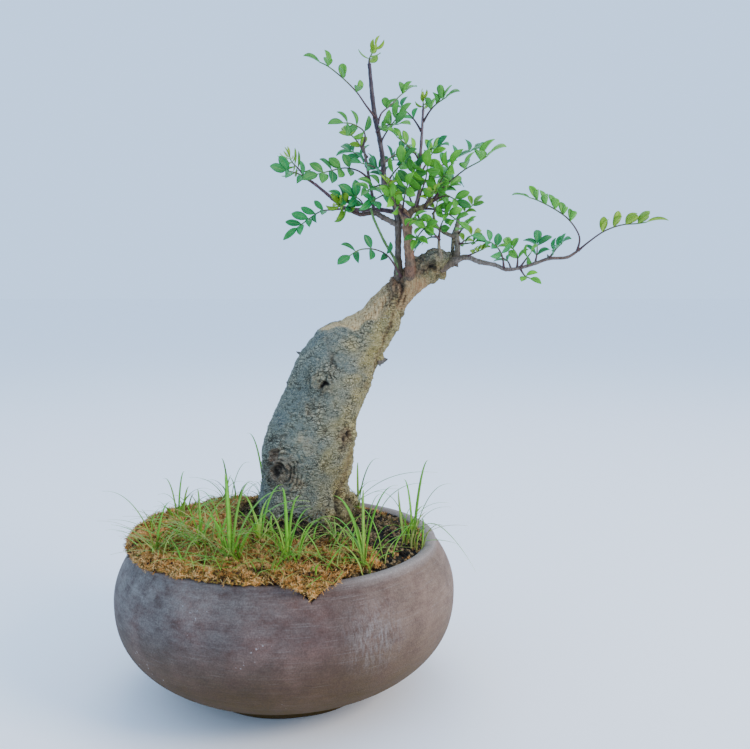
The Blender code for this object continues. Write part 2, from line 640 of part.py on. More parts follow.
def trunk_rings():
    """Return the trunk's rings: middle, direction, radius and how much of its lobes shows."""
    path = []
    for x, z, depth, radius in TRUNK:
        path.append((*seen(x, z, depth), radius * (1.0 - depth / VIEW_POINT.y)))
    samples = smoothed(path, 1)
    rings = [(Vector((TRUNK_X, TRUNK_Y, TRUNK_LOW)), UP, BASE_RADIUS, 1.0),
             (Vector((TRUNK_X, TRUNK_Y, GROUND_Z)), UP, BASE_RADIUS, 1.0)]
    for i in range(1, len(samples)):
        before = Vector(samples[i - 1][:3])
        here = Vector(samples[i][:3])
        after = Vector(samples[min(i + 1, len(samples) - 1)][:3])
        lobed = min(1.0, max(0.0, 1.4 - (here.z - GROUND_Z) / LOBES_HEIGHT))
        rings.append((here, (after - before).normalized(), samples[i][3], lobed))
    return rings


def make_trunk():
    """Make the trunk as a loft from its lobed foot to its round top."""
    shape = bmesh.new()
    loops = []
    for place, along, radius, lobed in trunk_rings():
        side = Vector((0.0, 1.0, 0.0)).cross(along).normalized()
        back = along.cross(side) * TRUNK_DEEP ** (1.0 - lobed)
        loop = []
        for j in range(TRUNK_SIDES):
            angle = 2 * math.pi * j / TRUNK_SIDES
            own = radius * (1.0 + TRUNK_WAVE * math.sin(3 * angle + place.z / 17.0))
            foot = base_radius(angle) * radius / (BASE_RADIUS + 1.6)
            reach = own + (foot - own) * lobed
            spot = place + (side * math.cos(angle) + back * math.sin(angle)) * reach
            loop.append(shape.verts.new(spot * MM))
        loops.append(loop)
    for low, high in zip(loops, loops[1:]):
        for j in range(TRUNK_SIDES):
            k = (j + 1) % TRUNK_SIDES
            shape.faces.new((low[j], low[k], high[k], high[j]))
    shape.faces.new(loops[0])
    shape.faces.new(loops[-1])
    return add_object("wood", closed_mesh(shape), PARTS, "wood")


def add_knot(x, z, depth, radius):
    """Add a small faceted ball to the repeats."""
    shape = bmesh.new()
    bmesh.ops.create_icosphere(shape, subdivisions=1, radius=radius * MM,
                               matrix=Matrix.Translation(seen(x, z, depth) * MM))
    add_object("knot", closed_mesh(shape), REPEATS)


def make_wood():
    """Make the trunk, its knots and its branches as one grown piece."""
    wood = make_trunk()
    for name, added, resolution, route in BRANCHES:
        placed = [(*seen(x, z, depth), radius) for x, z, depth, radius in route]
        samples = smoothed(placed, added)
        tube([sample[:3] for sample in samples], [sample[3] for sample in samples], resolution)
    for knot in KNOTS:
        add_knot(*knot)
    for root, tip in THORNS:
        tube([seen(*root), seen(*tip)], THORN_RADII, 0)
    fuse(wood)
    return wood


def seat_on_wood(first, second, wood_tree):
    """Return where a stalk starts, just off the wood, and the way that it leaves."""
    inward = (first - second).normalized()
    farthest = (first - second).length + SEAT_REACH
    hit, normal, index, distance = wood_tree.ray_cast(second * MM, inward)
    if hit is None or distance > farthest * MM:
        hit, normal, index, distance = wood_tree.find_nearest(first * MM)
    if normal.dot(second * MM - hit) < 0.0:
        normal = -inward
    return hit / MM + normal * HOLE_GAP, normal


def leaf_route(row, wood_tree, swing):
    """Return a leaf's stalk as points, swung toward or away from the viewer, and the sight."""
    name, flat_route, near, far = row[:4]
    route = []
    for i, (x, z) in enumerate(flat_route):
        route.append(seen(x, z, near + (far - near) * i / (len(flat_route) - 1)))
    start, leaving = seat_on_wood(route[0], route[1], wood_tree)
    onward = (route[1] - start).normalized()
    if onward.dot(leaving) < SHARP_BEND:
        leaving = (leaving + onward * BEND_EASE).normalized()
    route = [start, start + leaving * STALK_LEAVING] + route[1:]
    if (route[2] - route[1]).length < SHORTEST_SPAN:
        del route[2]
    sight = (VIEW_POINT - start).normalized()
    axis = sight.cross(route[-1] - start).normalized()
    turn = Matrix.Rotation(math.radians(swing), 3, axis)
    return [start + turn @ (place - start) for place in route], sight


def point_on(route, lengths, distance):
    """Return the place and the direction at a distance along a route."""
    for start, end, length in zip(route, route[1:], lengths):
        if distance <= length:
            return start.lerp(end, distance / length), (end - start).normalized()
        distance -= length
    return route[-1], (route[-1] - route[-2]).normalized()


def pair_shares(pairs):
    """Return where the pairs of leaflets sit along a stalk."""
    if pairs == 1:
        return [SINGLE_PAIR]
    return [FIRST_PAIR + (LAST_PAIR - FIRST_PAIR) * pair / (pairs - 1) for pair in range(pairs)]


def ring_stops(lengths, pairs):
    """Return the distances of a stalk's rings, each with the number of the pair opening there."""
    total = sum(lengths)
    joints = [share * total for share in pair_shares(pairs)]
    bends = [sum(lengths[:i]) for i in range(len(lengths) + 1)]
    clear = 2.2 * STALK_WIDTH
    stops = [(bend, 0) for bend in bends if all(abs(bend - joint) > clear for joint in joints)]
    for number, joint in enumerate(joints, 1):
        stops += [(joint - STALK_WIDTH, number), (joint + STALK_WIDTH, 0)]
    return sorted(stops)


def stalk_ring(shape, place, tangent, toward, thin, pair, before):
    """Add the four corners of the stalk at one place, turned the way of the ring before."""
    normal = (toward - tangent * toward.dot(tangent)).normalized()
    if before and normal.dot(before[-1].normal) < 0.0:
        normal = -normal
    side = normal.cross(tangent)
    corners = []
    for across, up in ((1, 1), (-1, 1), (-1, -1), (1, -1)):
        spot = place + (side * across * STALK_WIDTH + normal * up * STALK_HEIGHT) * thin
        corners.append(shape.verts.new(spot * MM))
    return Ring(corners, normal, side, place, tangent, pair)


def grow_leaflet(shape, socket, base, frame, length, width):
    """Draw a blade out of four corners: two sections and a tip edge."""
    along, across, face = frame
    for run, wide, rise in BLADE_SECTIONS:
        section = []
        for hand, lift in ((-1, 1), (1, 1), (1, -1), (-1, -1)):
            spot = base + along * run * length + across * hand * wide * width
            spot += face * (rise * length + lift * BLADE / 2)
            section.append(shape.verts.new(spot * MM))
        for i in range(4):
            j = (i + 1) % 4
            shape.faces.new((socket[i], socket[j], section[j], section[i]))
        socket = section
    tip = base + along * length - face * TIP_DROP * length
    upper = shape.verts.new((tip + face * BLADE / 2) * MM)
    lower = shape.verts.new((tip - face * BLADE / 2) * MM)
    shape.faces.new((socket[0], socket[1], upper))
    shape.faces.new((socket[1], socket[2], lower, upper))
    shape.faces.new((socket[2], socket[3], lower))
    shape.faces.new((socket[3], socket[0], upper, lower))


def grow_pair(shape, ring, after, row, width):
    """Draw the two leaflets of a pair out of the open sides between two rings."""
    pairs, length = row[4:6]
    fold = row[8]
    length *= 1.0 - PAIR_SHRINKING * abs(ring.pair - 1 - pairs * 0.5)
    tilt = math.radians(fold)
    spread = math.radians(PAIR_ANGLE - PAIR_CLOSING * ring.pair)
    for hand, near, far in ((-1.0, 1, 2), (1.0, 0, 3)):
        outward = ring.side * hand * math.cos(tilt) + ring.normal * math.sin(tilt)
        along = (ring.tangent * math.cos(spread) + outward * math.sin(spread)).normalized()
        across = (ring.tangent - along * ring.tangent.dot(along)).normalized()
        face = across.cross(along)
        if face.dot(ring.normal) < 0.0:
            face = -face
        base = (ring.place + after.place) / 2 + ring.side * hand * STALK_WIDTH
        socket = [ring.corners[near], after.corners[near], after.corners[far], ring.corners[far]]
        grow_leaflet(shape, socket, base, (along, across, face), length, width)


def leaf_shape(row, wood_tree, swing, narrower):
    """Make one leaf as one solid: its stalk, and its leaflets drawn out of the sides."""
    pairs, length, width, roll = row[4:8]
    width *= narrower
    route, sight = leaf_route(row, wood_tree, swing)
    toward = UP * math.cos(math.radians(roll)) + sight * math.sin(math.radians(roll))
    lengths = [(b - a).length for a, b in zip(route, route[1:])]
    shape = bmesh.new()
    rings = []
    for stop, pair in ring_stops(lengths, pairs):
        place, tangent = point_on(route, lengths, stop)
        thin = 1.0 - STALK_TAPER * stop / sum(lengths)
        rings.append(stalk_ring(shape, place, tangent, toward, thin, pair, rings))
    for ring, after in zip(rings, rings[1:]):
        for i in range(4):
            j = (i + 1) % 4
            if ring.pair == 0 or i in (0, 2):
                shape.faces.new((ring.corners[i], ring.corners[j],
                                 after.corners[j], after.corners[i]))
        if ring.pair:
            grow_pair(shape, ring, after, row, width)
    shape.faces.new(rings[0].corners)
    end = rings[-1]
    socket = [end.corners[i] for i in (1, 0, 3, 2)]
    grow_leaflet(shape, socket, end.place, (end.tangent, end.side, end.normal),
                 length * END_LEAFLET, width)
    return shape


def tree_of(mesh):
    """Return a search tree of a mesh."""
    shape = bmesh.new()
    shape.from_mesh(mesh)
    tree = BVHTree.FromBMesh(shape)
    shape.free()
    return tree


def crosses_itself(shape, tree):
    """Tell whether two faces of a leaf that share no corner cross each other."""
    shape.faces.ensure_lookup_table()
    for first, second in tree.overlap(tree):
        if set(shape.faces[first].verts).isdisjoint(shape.faces[second].verts):
            return True
    return False


def make_leaf(row, wood_tree, placed):
    """Make a leaf: swung clear of what is there, its leaflets narrow enough to clear each other."""
    for swing in SWINGS:
        for narrower in NARROWER:
            shape = leaf_shape(row, wood_tree, swing, narrower)
            tree = BVHTree.FromBMesh(shape)
            if crosses_itself(shape, tree):
                shape.free()
                continue
            if not any(tree.overlap(other) for other in placed):
                placed.append(tree)
                return add_object(row[0], closed_mesh(shape), PARTS, row[-1])
            shape.free()
            break
    raise ValueError(row[0] + " crosses itself or its neighbours")


def blade_spot(outward, reach, height, t):
    """Return where a blade's middle lies at a share of its length: a hanging one rises first."""
    lean = BLADE_START + (reach - BLADE_START) * t ** BLADE_LEAN
    if height > 0.0:
        rise = height * math.sin(t * math.pi / 2 * 1.1)
    else:
        rise = HANGING_RISE * math.sin(min(1.0, t * 1.7) * math.pi / 2)
        rise += (height - HANGING_RISE) * t ** 3
    return outward * lean + UP * rise


def add_blade(root, heading, reach, height, width):
    """Add one tapered blade, with a keel along its outer side, to the repeats."""
    outward = heading_vector(heading)
    across = UP.cross(outward)
    shape = bmesh.new()
    sections = []
    for i, wide in enumerate(BLADE_WIDTHS):
        t = i / (len(BLADE_WIDTHS) - 1)
        place = root + blade_spot(outward, reach, height, t)
        before = blade_spot(outward, reach, height, max(0.0, t - 0.1))
        after = blade_spot(outward, reach, height, min(1.0, t + 0.1))
        half = across * 0.5 * width * wide
        keel = across.cross(after - before).normalized() * BLADE_KEEL * (1.0 - 0.25 * t)
        sections.append([shape.verts.new(spot * MM)
                         for spot in (place - half, place + half, place + keel)])
    for low, high in zip(sections, sections[1:]):
        for a, b in ((0, 1), (1, 2), (2, 0)):
            shape.faces.new((low[a], high[a], high[b]))
            shape.faces.new((low[a], high[b], low[b]))
    shape.faces.new(sections[0])
    shape.faces.new(sections[-1])
    add_object("blade", closed_mesh(shape), REPEATS)


def make_grass(row, placed):
    """Make a tuft: a short root in its hole, with its blades."""
    name, x, y, blades = row
    high = soil_height(x, y) + TUFT_ABOVE_SOIL
    tuft = post(TUFT_RADIUS, (x, y), TUFT_LOW, high, TUFT_SIDES, PARTS)
    start = Vector((x, y, high - BLADE_ROOT))
    for blade in blades:
        add_blade(start, *blade)
    fuse(tuft)
    tuft.name = name
    tuft.data.name = name
    tuft.data.materials.clear()
    tuft.data.materials.append(material("grass"))
    tree = tree_of(tuft.data)
    if any(tree.overlap(other) for other in placed):
        raise ValueError(name + " crosses its neighbours")
    placed.append(tree)


def shade(items):
    """Shade the round pieces smooth and keep their sharp edges."""
    for item in items:
        item.data.shade_smooth()
        item.data.set_sharp_from_angle(angle=math.radians(SHARP_FROM))


def main():
    """Build the bonsai."""
    pot = make_pot()
    soil = make_soil()
    moss = make_moss()
    wood = make_wood()
    wood_tree = tree_of(wood.data)
    placed = [wood_tree, tree_of(pot.data), tree_of(moss.data)]
    for row in LEAVES:
        make_leaf(row, wood_tree, placed)
    for row in GRASS:
        make_grass(row, placed)
    shade([pot, soil, moss, wood])


main()
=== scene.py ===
"""Looks of a Hubei ash bonsai: an old leaning trunk with small pinnate leaves, rooted in
soil, dry moss and grass in a round unglazed clay bowl.

Every piece stands where its solid stands. Metres, +Z up, the front at -Y. The sizes below
are in millimetres, and the tree's routes are written as they stand in the upright plane
through the bowl's axis when looked at from VIEW_POINT, each point with its own depth.
"""

import math
import random
from functools import partial

import bmesh
import bpy
from mathutils import Matrix, Vector, noise
from mathutils.bvhtree import BVHTree


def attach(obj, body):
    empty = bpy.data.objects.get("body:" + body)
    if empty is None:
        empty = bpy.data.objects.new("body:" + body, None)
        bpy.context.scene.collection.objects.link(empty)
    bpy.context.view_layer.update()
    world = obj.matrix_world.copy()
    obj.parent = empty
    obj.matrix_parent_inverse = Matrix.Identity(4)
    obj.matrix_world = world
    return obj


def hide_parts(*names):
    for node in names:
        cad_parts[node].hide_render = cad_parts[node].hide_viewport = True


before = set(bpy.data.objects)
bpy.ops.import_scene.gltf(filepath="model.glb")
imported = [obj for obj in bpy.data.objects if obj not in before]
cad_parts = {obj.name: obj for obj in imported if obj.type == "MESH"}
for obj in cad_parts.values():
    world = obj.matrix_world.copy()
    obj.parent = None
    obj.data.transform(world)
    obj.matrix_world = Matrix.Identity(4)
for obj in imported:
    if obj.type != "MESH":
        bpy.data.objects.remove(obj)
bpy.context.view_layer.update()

MM = 0.001
UP = Vector((0.0, 0.0, 1.0))
SEED = 7

# Bowl
BOWL_RADIUS = 115.0
BELLY_Z = 67.0
BELLY_POWER = 2.34
RIM_RADIUS = 102.5
RIM_Z = 102.0
RIM_HEIGHT = 3.0
SHOULDER_RADIUS = RIM_RADIUS - 1.0
FOOT_RADIUS = 59.0
FOOT_HEIGHT = 7.0
WALL = 8.0
FLOOR_Z = 12.0
FLOOR_CORNER = 12.0
BOWL_STEPS = 240
SHOULDER_STEPS = 16
BELLY_STEPS = 28
HAND_WOBBLE = 0.5
DRAIN_HOLES = 3
DRAIN_RADIUS = 5.0
DRAIN_DISTANCE = 30.0
DRAIN_SIDES = 32
CHIP_RADIUS = 11.7
CHIP_X = 24.0
CHIP_Z = RIM_Z + 5.2
CHIP_WIDER = 1.5
CHIP_DEEPER = 1.2
CHIP_SIDES = 64
CHIP_STEPS = 15
CHIP_SPAN = 28.0
CHIP_INWARD = 20.0
CHIP_ROUGH = 0.9

# Soil and moss
GAP = 0.3
SOIL_EDGE_Z = 99.0
SOIL_MOUND = 10.0
SOIL_LUMP = 0.8
SOIL_SPOKES = 200
SOIL_RINGS = 60
MOSS_START = 96.0
MOSS_END = 318.0
MOSS_INSIDE = 90.0
MOSS_EDGE_REACH = 102.0
MOSS_SHELF = 3.8
MOSS_LEFT = 195.0
MOSS_FRONT = 283.0
MOSS_FRONT_HALF = 22.0
MOSS_RIM_FROM = 94.0
MOSS_CORE = 14.0
MOSS_SPOKES = 260
MOSS_STEPS = 64
MOSS_ON_SOIL = 0.9
MOSS_ON_RIM = 0.6
MOSS_DROOP = 0.3
MOSS_RAGGED = 2.4
MOSS_LUMPS = 4.9
MOSS_THIN = 0.5
MOSS_BORDER = 5.0
MOSS_FRINGE = 7.0
# The tongue of moss in the chip
TONGUE_STEPS = 13
TONGUE_INWARD = 6.6
TONGUE_CLEAR = 0.7
TONGUE_ROUGH = 1.4
TONGUE_RISE = 2.4

# Where the routes of the tree are looked at from
VIEW_POINT = Vector((60.7, -575.0, 276.0))
# The camera: in a picture this wide, its focal length and how far below the horizon it aims
PICTURE_WIDTH = 750.0
FOCAL_LENGTH = 860.0
BELOW_HORIZON = 94.5
SENSOR_WIDTH = 36.0

# Trunk and the old arm at its top: x, z, depth and radius along the middle
TRUNK = [
    (12, 117, 25, 34), (11, 127, 25, 32), (12, 142, 25, 30.3), (14, 158, 25, 31.3), (19, 174, 24, 29.3),
    (25, 192, 23, 26.6), (31, 209, 22, 26), (39, 225, 21, 24.5), (50, 236, 20, 19), (61, 247, 18, 14.5),
    (69, 259, 17, 11.6), (77, 268, 16, 10.8), (86, 275, 16, 9.6), (95, 283, 15, 9.2), (102, 288, 14, 8.2),
    (108, 289, 14, 6), (113, 289, 14, 3.6),
]
TRUNK_SIDES = 210
TRUNK_SPAN_STEPS = 17
TRUNK_FIRST = 1
FLARE_STEPS = 7
TRUNK_DEEP = 0.94
TRUNK_WAVE = 0.03
TRUNK_X = 10.0
TRUNK_Y = 25.0
TRUNK_LOW = 83.0
GROUND_Z = 111.0
LOBES_HEIGHT = 40.0
BASE_RADIUS = 34.5

BRANCH_SPAN_STEPS = 11
THICK_SIDES = 18
THIN_SIDES = 12
BRANCH_LUMPS = 0.16
PITH_COLOUR = "241C18"
SAWN = ("fork", "arm_stub", "side_stub")

# Branches: name, lower and upper colour, then x, z, depth and radius along each
BRANCHES = [
    ("leader", "7E736A", "463240", [(77, 276, 14, 4.5), (76, 288, 12, 2.5), (76, 301, 10, 2.1),
     (76, 314, 9, 2.6), (75, 319, 9, 2), (72, 330, 10, 1.9), (67, 338, 12, 2), (66, 352, 13, 1.7),
     (64, 366, 13, 1.6), (61, 380, 12, 1.6), (59, 394, 11, 1.45), (57, 415, 10, 1.2)]),
    ("left_limb", "84776C", "5C4038", [(77, 311, 9, 2), (72, 314, 7, 1.9), (66, 317, 4, 1.8),
     (60, 320, 2, 1.6), (51, 319, 0, 1.4), (43, 322, -2, 0.9)]),
    ("side_stub", "84776C", "7C6A58", [(76, 313, 9, 1.7), (79, 316, 11, 1.5), (80, 317, 12, 1.2)]),
    ("left_shoot", "54363C", "6A4650", [(76, 320, 9, 1.7), (64, 322, 14, 1.5), (52, 322, 18, 1.4),
     (41, 323, 22, 1.3), (33, 329, 23, 1.2), (22, 338, 23, 1), (13, 344, 22, 0.8)]),
    ("slim_shoot", "5E4850", "6C5A50", [(60, 318, 3, 1.3), (59, 330, 3, 1.1), (57, 341, 3, 1),
     (55, 353, 2, 0.9), (53, 363, 1, 0.8)]),
    ("fork", "8E6044", "A2805E", [(84, 270, 18, 4), (84, 278, 11, 4.2), (84, 287, 6, 3.5),
     (83, 298, 4, 3.1), (82, 310, 4, 3.1), (81, 318, 4, 3.3), (76, 324, 4, 2.3), (73, 331, 4, 2.1),
     (70, 341, 4, 1.9)]),
    ("fork_limb", "8E6E50", "7C8040", [(82, 317, 4, 2.7), (86, 322, 3, 2.2), (93, 324, 2, 1.8),
     (99, 329, 1, 1.2)]),
    ("second_leader", "86706C", "78606A", [(87, 322, 4, 1.5), (90, 336, 7, 1.2), (90, 352, 9, 1.1),
     (91, 366, 9, 1), (92, 386, 9, 0.8)]),
    ("green_stem", "6A8A4C", "5F9440", [(76, 280, 10, 1.2), (74, 289, 7, 1), (67, 301, 4, 0.9),
     (60, 316, -4, 0.8), (58, 323, -7, 0.8)]),
    ("arm_upright", "85796A", "76705A", [(112, 286, 13, 4), (115, 294, 12, 2.2), (115, 301, 12, 1.9),
     (114, 306, 12, 2.4), (115, 312, 13, 1.6), (116, 318, 13, 0.9)]),
    ("arm_side", "7C6E5C", "6E7444", [(115, 304, 12, 1.7), (107, 307, 9, 1.3), (101, 312, 6, 1.1),
     (99, 320, 4, 0.8)]),
    ("arm_stub", "94866C", "8A7C60", [(104, 291, 8, 1.8), (103, 298, 5, 1.1), (103, 305, 3, 0.8)]),
    ("long_branch", "8A7E74", "6C5248", [(104, 282, 11, 2.6), (112, 288, 11, 2.9), (121, 291, 12, 1.8),
     (130, 288, 10, 1.7), (140, 286, 8, 1.4), (148, 283, 7, 1.3), (157, 284, 6, 1.2), (167, 287, 5, 1.2),
     (176, 290, 4, 1.1), (188, 291, 3, 1), (196, 296, 2, 0.8)]),
]

# Knots and burrs: x, z, depth and radius
KNOTS = [
    (-7, 158, 5, 6.5), (-4, 146, 4, 10.5), (26, 208, 2, 7.5), (43, 172, 12, 7), (16, 188, 3, 5),
    (105, 280, 12, 3.4), (101, 291, 12, 5.6), (86, 273, 11, 6), (114, 305, 12, 3), (40, 125, 35, 8.5),
    (69, 248, 11, 8.5), (64, 224, 17, 3.2),
]

# Thorn stubs: root and tip, each x, z and depth, and the radius at the root
THORNS = [
    ((12, 226, 20), (5, 230, 18), 1.8), ((5, 206, 20), (-2, 209, 18), 2.6),
    ((-9, 172, 22), (-15, 176, 20), 1.8), ((63, 222, 18), (74, 224, 16), 3.9),
    ((130, 288, 10), (131, 285, 9), 1.8), ((176, 290, 4), (174, 295, 5), 1.6),
]
THORN_TIP = 0.3
THORN_SIDES = 9
THORN_LUMPS = 0.45
THORN_COLOURS = ("7C766A", "5A5248")
THORN_LENGTH = 0.58
RIPPLE_GAP = 2.6
FILLET = 2.5

# Leaves of each kind: name, stalk as (x, z), its depth at the foot and the tip, pairs of
# leaflets, their length and width, how far the leaf faces the viewer and its sides fold up.
# Those called extra fill the heart of the crown and have no solid of their own.
LEAVES = {
    "green": [
        ("leaf_top_left", [(61, 381), (54, 390), (49, 397), (41, 405), (31, 413), (25, 416)], 11, -4, 3,
         9.5, 5.5, 25, 46),
        ("leaf_top_right", [(62, 377), (65, 384), (71, 389), (77, 395), (81, 398)], 12, 28, 2, 9, 5.1, 20,
         50),
        ("leaf_second_right", [(92, 379), (97, 386), (102, 391), (108, 395)], 9, -8, 3, 9, 5, 10, 54),
        ("leaf_slim_left", [(53, 363), (54, 369), (52, 374), (45, 378), (39, 379)], 1, -16, 3, 9.4, 4.9,
         60, 10),
        ("leaf_leader_right", [(64, 365), (67, 370), (71, 376), (76, 382)], 13, 0, 3, 9.5, 5.3, 35, 42),
        ("leaf_between", [(90, 353), (87, 358), (81, 364), (75, 369)], 9, -14, 3, 8.5, 4.8, 45, 25),
        ("leaf_left_high", [(57, 342), (50, 347), (41, 349), (31, 347), (23, 345)], 3, -22, 4, 10, 5.7, 60,
         20),
        ("leaf_right_big", [(99, 329), (105, 336), (112, 342), (121, 349), (130, 354), (136, 358)], 1, -26,
         3, 12.5, 7.3, 30, 46),
        ("leaf_heart_front", [(88, 322), (91, 333), (94, 342), (95, 350)], 3, -24, 3, 11, 6.4, 60, 20),
        ("leaf_heart_side", [(94, 325), (100, 334), (104, 341), (108, 347)], 2, -30, 3, 10.5, 6.2, 60, 20),
        ("leaf_heart_left", [(71, 335), (64, 338), (57, 336), (52, 334)], 4, -28, 3, 10, 5.7, 60, 20),
        ("leaf_heart_up", [(70, 341), (73, 346), (79, 352)], 4, -14, 2, 10.5, 5.9, 60, 20),
        ("leaf_heart_low", [(87, 322), (83, 331), (84, 339), (88, 345)], 3, -14, 3, 10, 5.7, 60, 20),
        ("leaf_limb_end", [(99, 328), (107, 331), (114, 328)], 1, -8, 2, 8.5, 4.8, 55, 20),
        ("leaf_limb_low", [(94, 323), (103, 322), (109, 319), (114, 315)], 2, -18, 3, 8.5, 5.1, 55, 20),
        ("leaf_arm_right", [(115, 306), (120, 311), (125, 315)], 12, -2, 2, 7.5, 4.4, 50, 20),
        ("leaf_fork_low", [(88, 321), (91, 314), (95, 310)], 3, -16, 2, 9, 5.5, 60, 15),
        ("leaf_side_left", [(101, 311), (95, 311), (90, 306), (88, 302)], 6, -10, 2, 8.5, 5.3, 60, 15),
        ("leaf_arch", [(195, 296), (196, 303), (193, 310), (187, 317), (178, 323), (168, 328), (162, 330)],
         2, -14, 5, 9.8, 5.3, 18, 52),
        ("leaf_branch_b", [(155, 284), (155, 292), (151, 298)], 6, 18, 2, 8.5, 5.1, 50, 20),
        ("leaf_branch_c", [(157, 284), (161, 290), (164, 294)], 6, -6, 1, 7.5, 4.6, 55, 15),
        ("leaf_branch_low", [(157, 284), (160, 279), (164, 277)], 6, 0, 1, 7, 4.2, 40, 15),
        ("extra_fork_front", [(78, 321), (74, 326), (70, 331)], 1, -16, 2, 9.5, 5.5, 65, 15),
        ("extra_fork_up", [(79, 322), (80, 330), (82, 338)], 1, -20, 2, 9.5, 5.6, 60, 15),
        ("extra_fork_low", [(80, 319), (85, 316), (90, 316)], 1, -16, 1, 8.5, 5.2, 55, 15),
        ("extra_heart_right", [(96, 325), (104, 333), (110, 338)], 2, 6, 3, 8.5, 5, 55, 25),
        ("extra_leader_mid", [(62, 372), (68, 376), (76, 377)], 12, -8, 2, 9, 5.2, 55, 25),
        ("extra_stub_up", [(103, 304), (104, 311), (107, 318)], 3, -8, 2, 9, 5.2, 55, 20),
        ("extra_stub_left", [(103, 303), (98, 308), (93, 311)], 3, -14, 1, 8.5, 5, 60, 15),
        ("extra_heart_top", [(90, 345), (95, 353), (99, 360)], 8, 12, 2, 9, 5, 55, 20),
    ],
    "blue": [
        ("leaf_second_left", [(91, 373), (86, 380), (80, 386), (76, 389)], 9, 26, 2, 8, 4.6, 60, 20),
        ("leaf_inner_low", [(90, 348), (83, 352), (76, 354), (71, 354)], 9, 34, 2, 8, 4.6, 60, 20),
        ("leaf_slim_mid", [(55, 353), (50, 357), (45, 360)], 2, 14, 2, 9, 5.3, 60, 15),
        ("leaf_left_end", [(19, 340), (11, 345), (3, 347)], 22, 8, 2, 9.5, 5.5, 55, 20),
        ("leaf_limb_up", [(53, 319), (52, 327), (47, 331)], 0, -8, 2, 10.5, 6, 65, 15),
        ("leaf_left_low", [(41, 323), (33, 322), (25, 321), (17, 316), (9, 310)], 22, 6, 4, 9.5, 5.3, 45,
         25),
        ("leaf_low_left", [(76, 281), (70, 291), (61, 296), (51, 296), (44, 292)], 8, -20, 3, 9.5, 5.2, 65,
         20),
        ("leaf_right_back", [(90, 346), (103, 350), (115, 356), (126, 361)], 8, 44, 3, 9.5, 5.5, 40, 40),
        ("leaf_heart_back", [(90, 338), (97, 342), (104, 343), (110, 341)], 7, 30, 3, 10, 5.7, 45, 25),
        ("leaf_stub", [(103, 304), (97, 304), (91, 301)], 3, 16, 2, 8, 4.8, 55, 20),
        ("leaf_branch_a", [(146, 284), (145, 292), (141, 298), (135, 301)], 7, -6, 3, 8.5, 5.1, 55, 20),
        ("leaf_branch_d", [(167, 287), (168, 294), (168, 300)], 5, 14, 2, 9.5, 5.5, 60, 10),
        ("leaf_branch_e", [(176, 290), (181, 297), (186, 302)], 4, -10, 3, 8, 4.8, 50, 20),
        ("leaf_branch_f", [(151, 283), (149, 288), (145, 291)], 7, 22, 1, 7.5, 4.4, 50, 15),
        ("extra_heart_left", [(72, 332), (66, 343), (62, 350)], 6, 20, 2, 9, 5.2, 60, 20),
        ("extra_heart_mid", [(90, 335), (86, 343), (84, 350)], 7, 18, 2, 9, 5.2, 60, 20),
        ("extra_limb_left", [(50, 319), (44, 326), (38, 330)], 0, -14, 2, 8.5, 5, 60, 20),
        ("extra_leader_low", [(66, 346), (59, 350), (52, 352)], 12, -10, 2, 9, 5, 60, 20),
        ("extra_leader_back", [(66, 352), (73, 357), (80, 360)], 13, 30, 2, 8.5, 4.8, 55, 20),
        ("extra_fork_left", [(72, 333), (65, 331), (58, 327)], 4, -12, 2, 9, 5.2, 60, 20),
        ("extra_second_mid", [(91, 356), (97, 361), (103, 363)], 9, -8, 2, 8, 4.6, 50, 25),
    ],
    "young": [
        ("tuft_leader", [(57, 415), (57, 418), (59, 422)], 10, 8, 2, 9.5, 4.8, 70, 5),
        ("tuft_second", [(92, 386), (92, 389), (92, 391)], 9, 7, 2, 7.5, 3.7, 70, 5),
        ("tuft_left", [(14, 344), (10, 349), (7, 352), (5, 355)], 22, 34, 2, 8.5, 4.2, 70, 5),
        ("tuft_limb", [(43, 322), (37, 325), (34, 328)], -2, -10, 2, 9, 4.6, 40, 10),
        ("leaf_arm_tip", [(116, 317), (121, 321), (126, 326)], 13, 20, 2, 7.5, 4.2, 40, 20),
        ("leaf_arm_low", [(115, 298), (120, 302), (126, 306)], 12, 26, 2, 7, 4.2, 50, 20),
        ("leaf_fern", [(121, 291), (127, 294), (134, 297)], 12, 2, 3, 5.5, 2.8, 20, 45),
        ("leaf_side_up", [(99, 319), (101, 324), (102, 328)], 4, 12, 2, 8, 4.6, 50, 15),
        ("leaf_end", [(196, 296), (202, 301), (212, 308), (223, 312), (234, 313), (240, 314)], 2, -10, 4,
         10.8, 5.4, 12, 56),
        ("extra_slim_back", [(55, 356), (49, 366), (44, 371)], 2, 12, 2, 8, 4.6, 55, 25),
        ("extra_heart_young", [(76, 324), (72, 333), (69, 340)], 3, -22, 2, 7.5, 3.6, 40, 25),
        ("extra_limb_young", [(93, 323), (96, 330), (100, 335)], 2, -22, 2, 7.5, 3.6, 40, 25),
        ("extra_arm_young", [(115, 300), (121, 300), (127, 301)], 12, 0, 2, 7, 3.8, 50, 25),
    ],
}

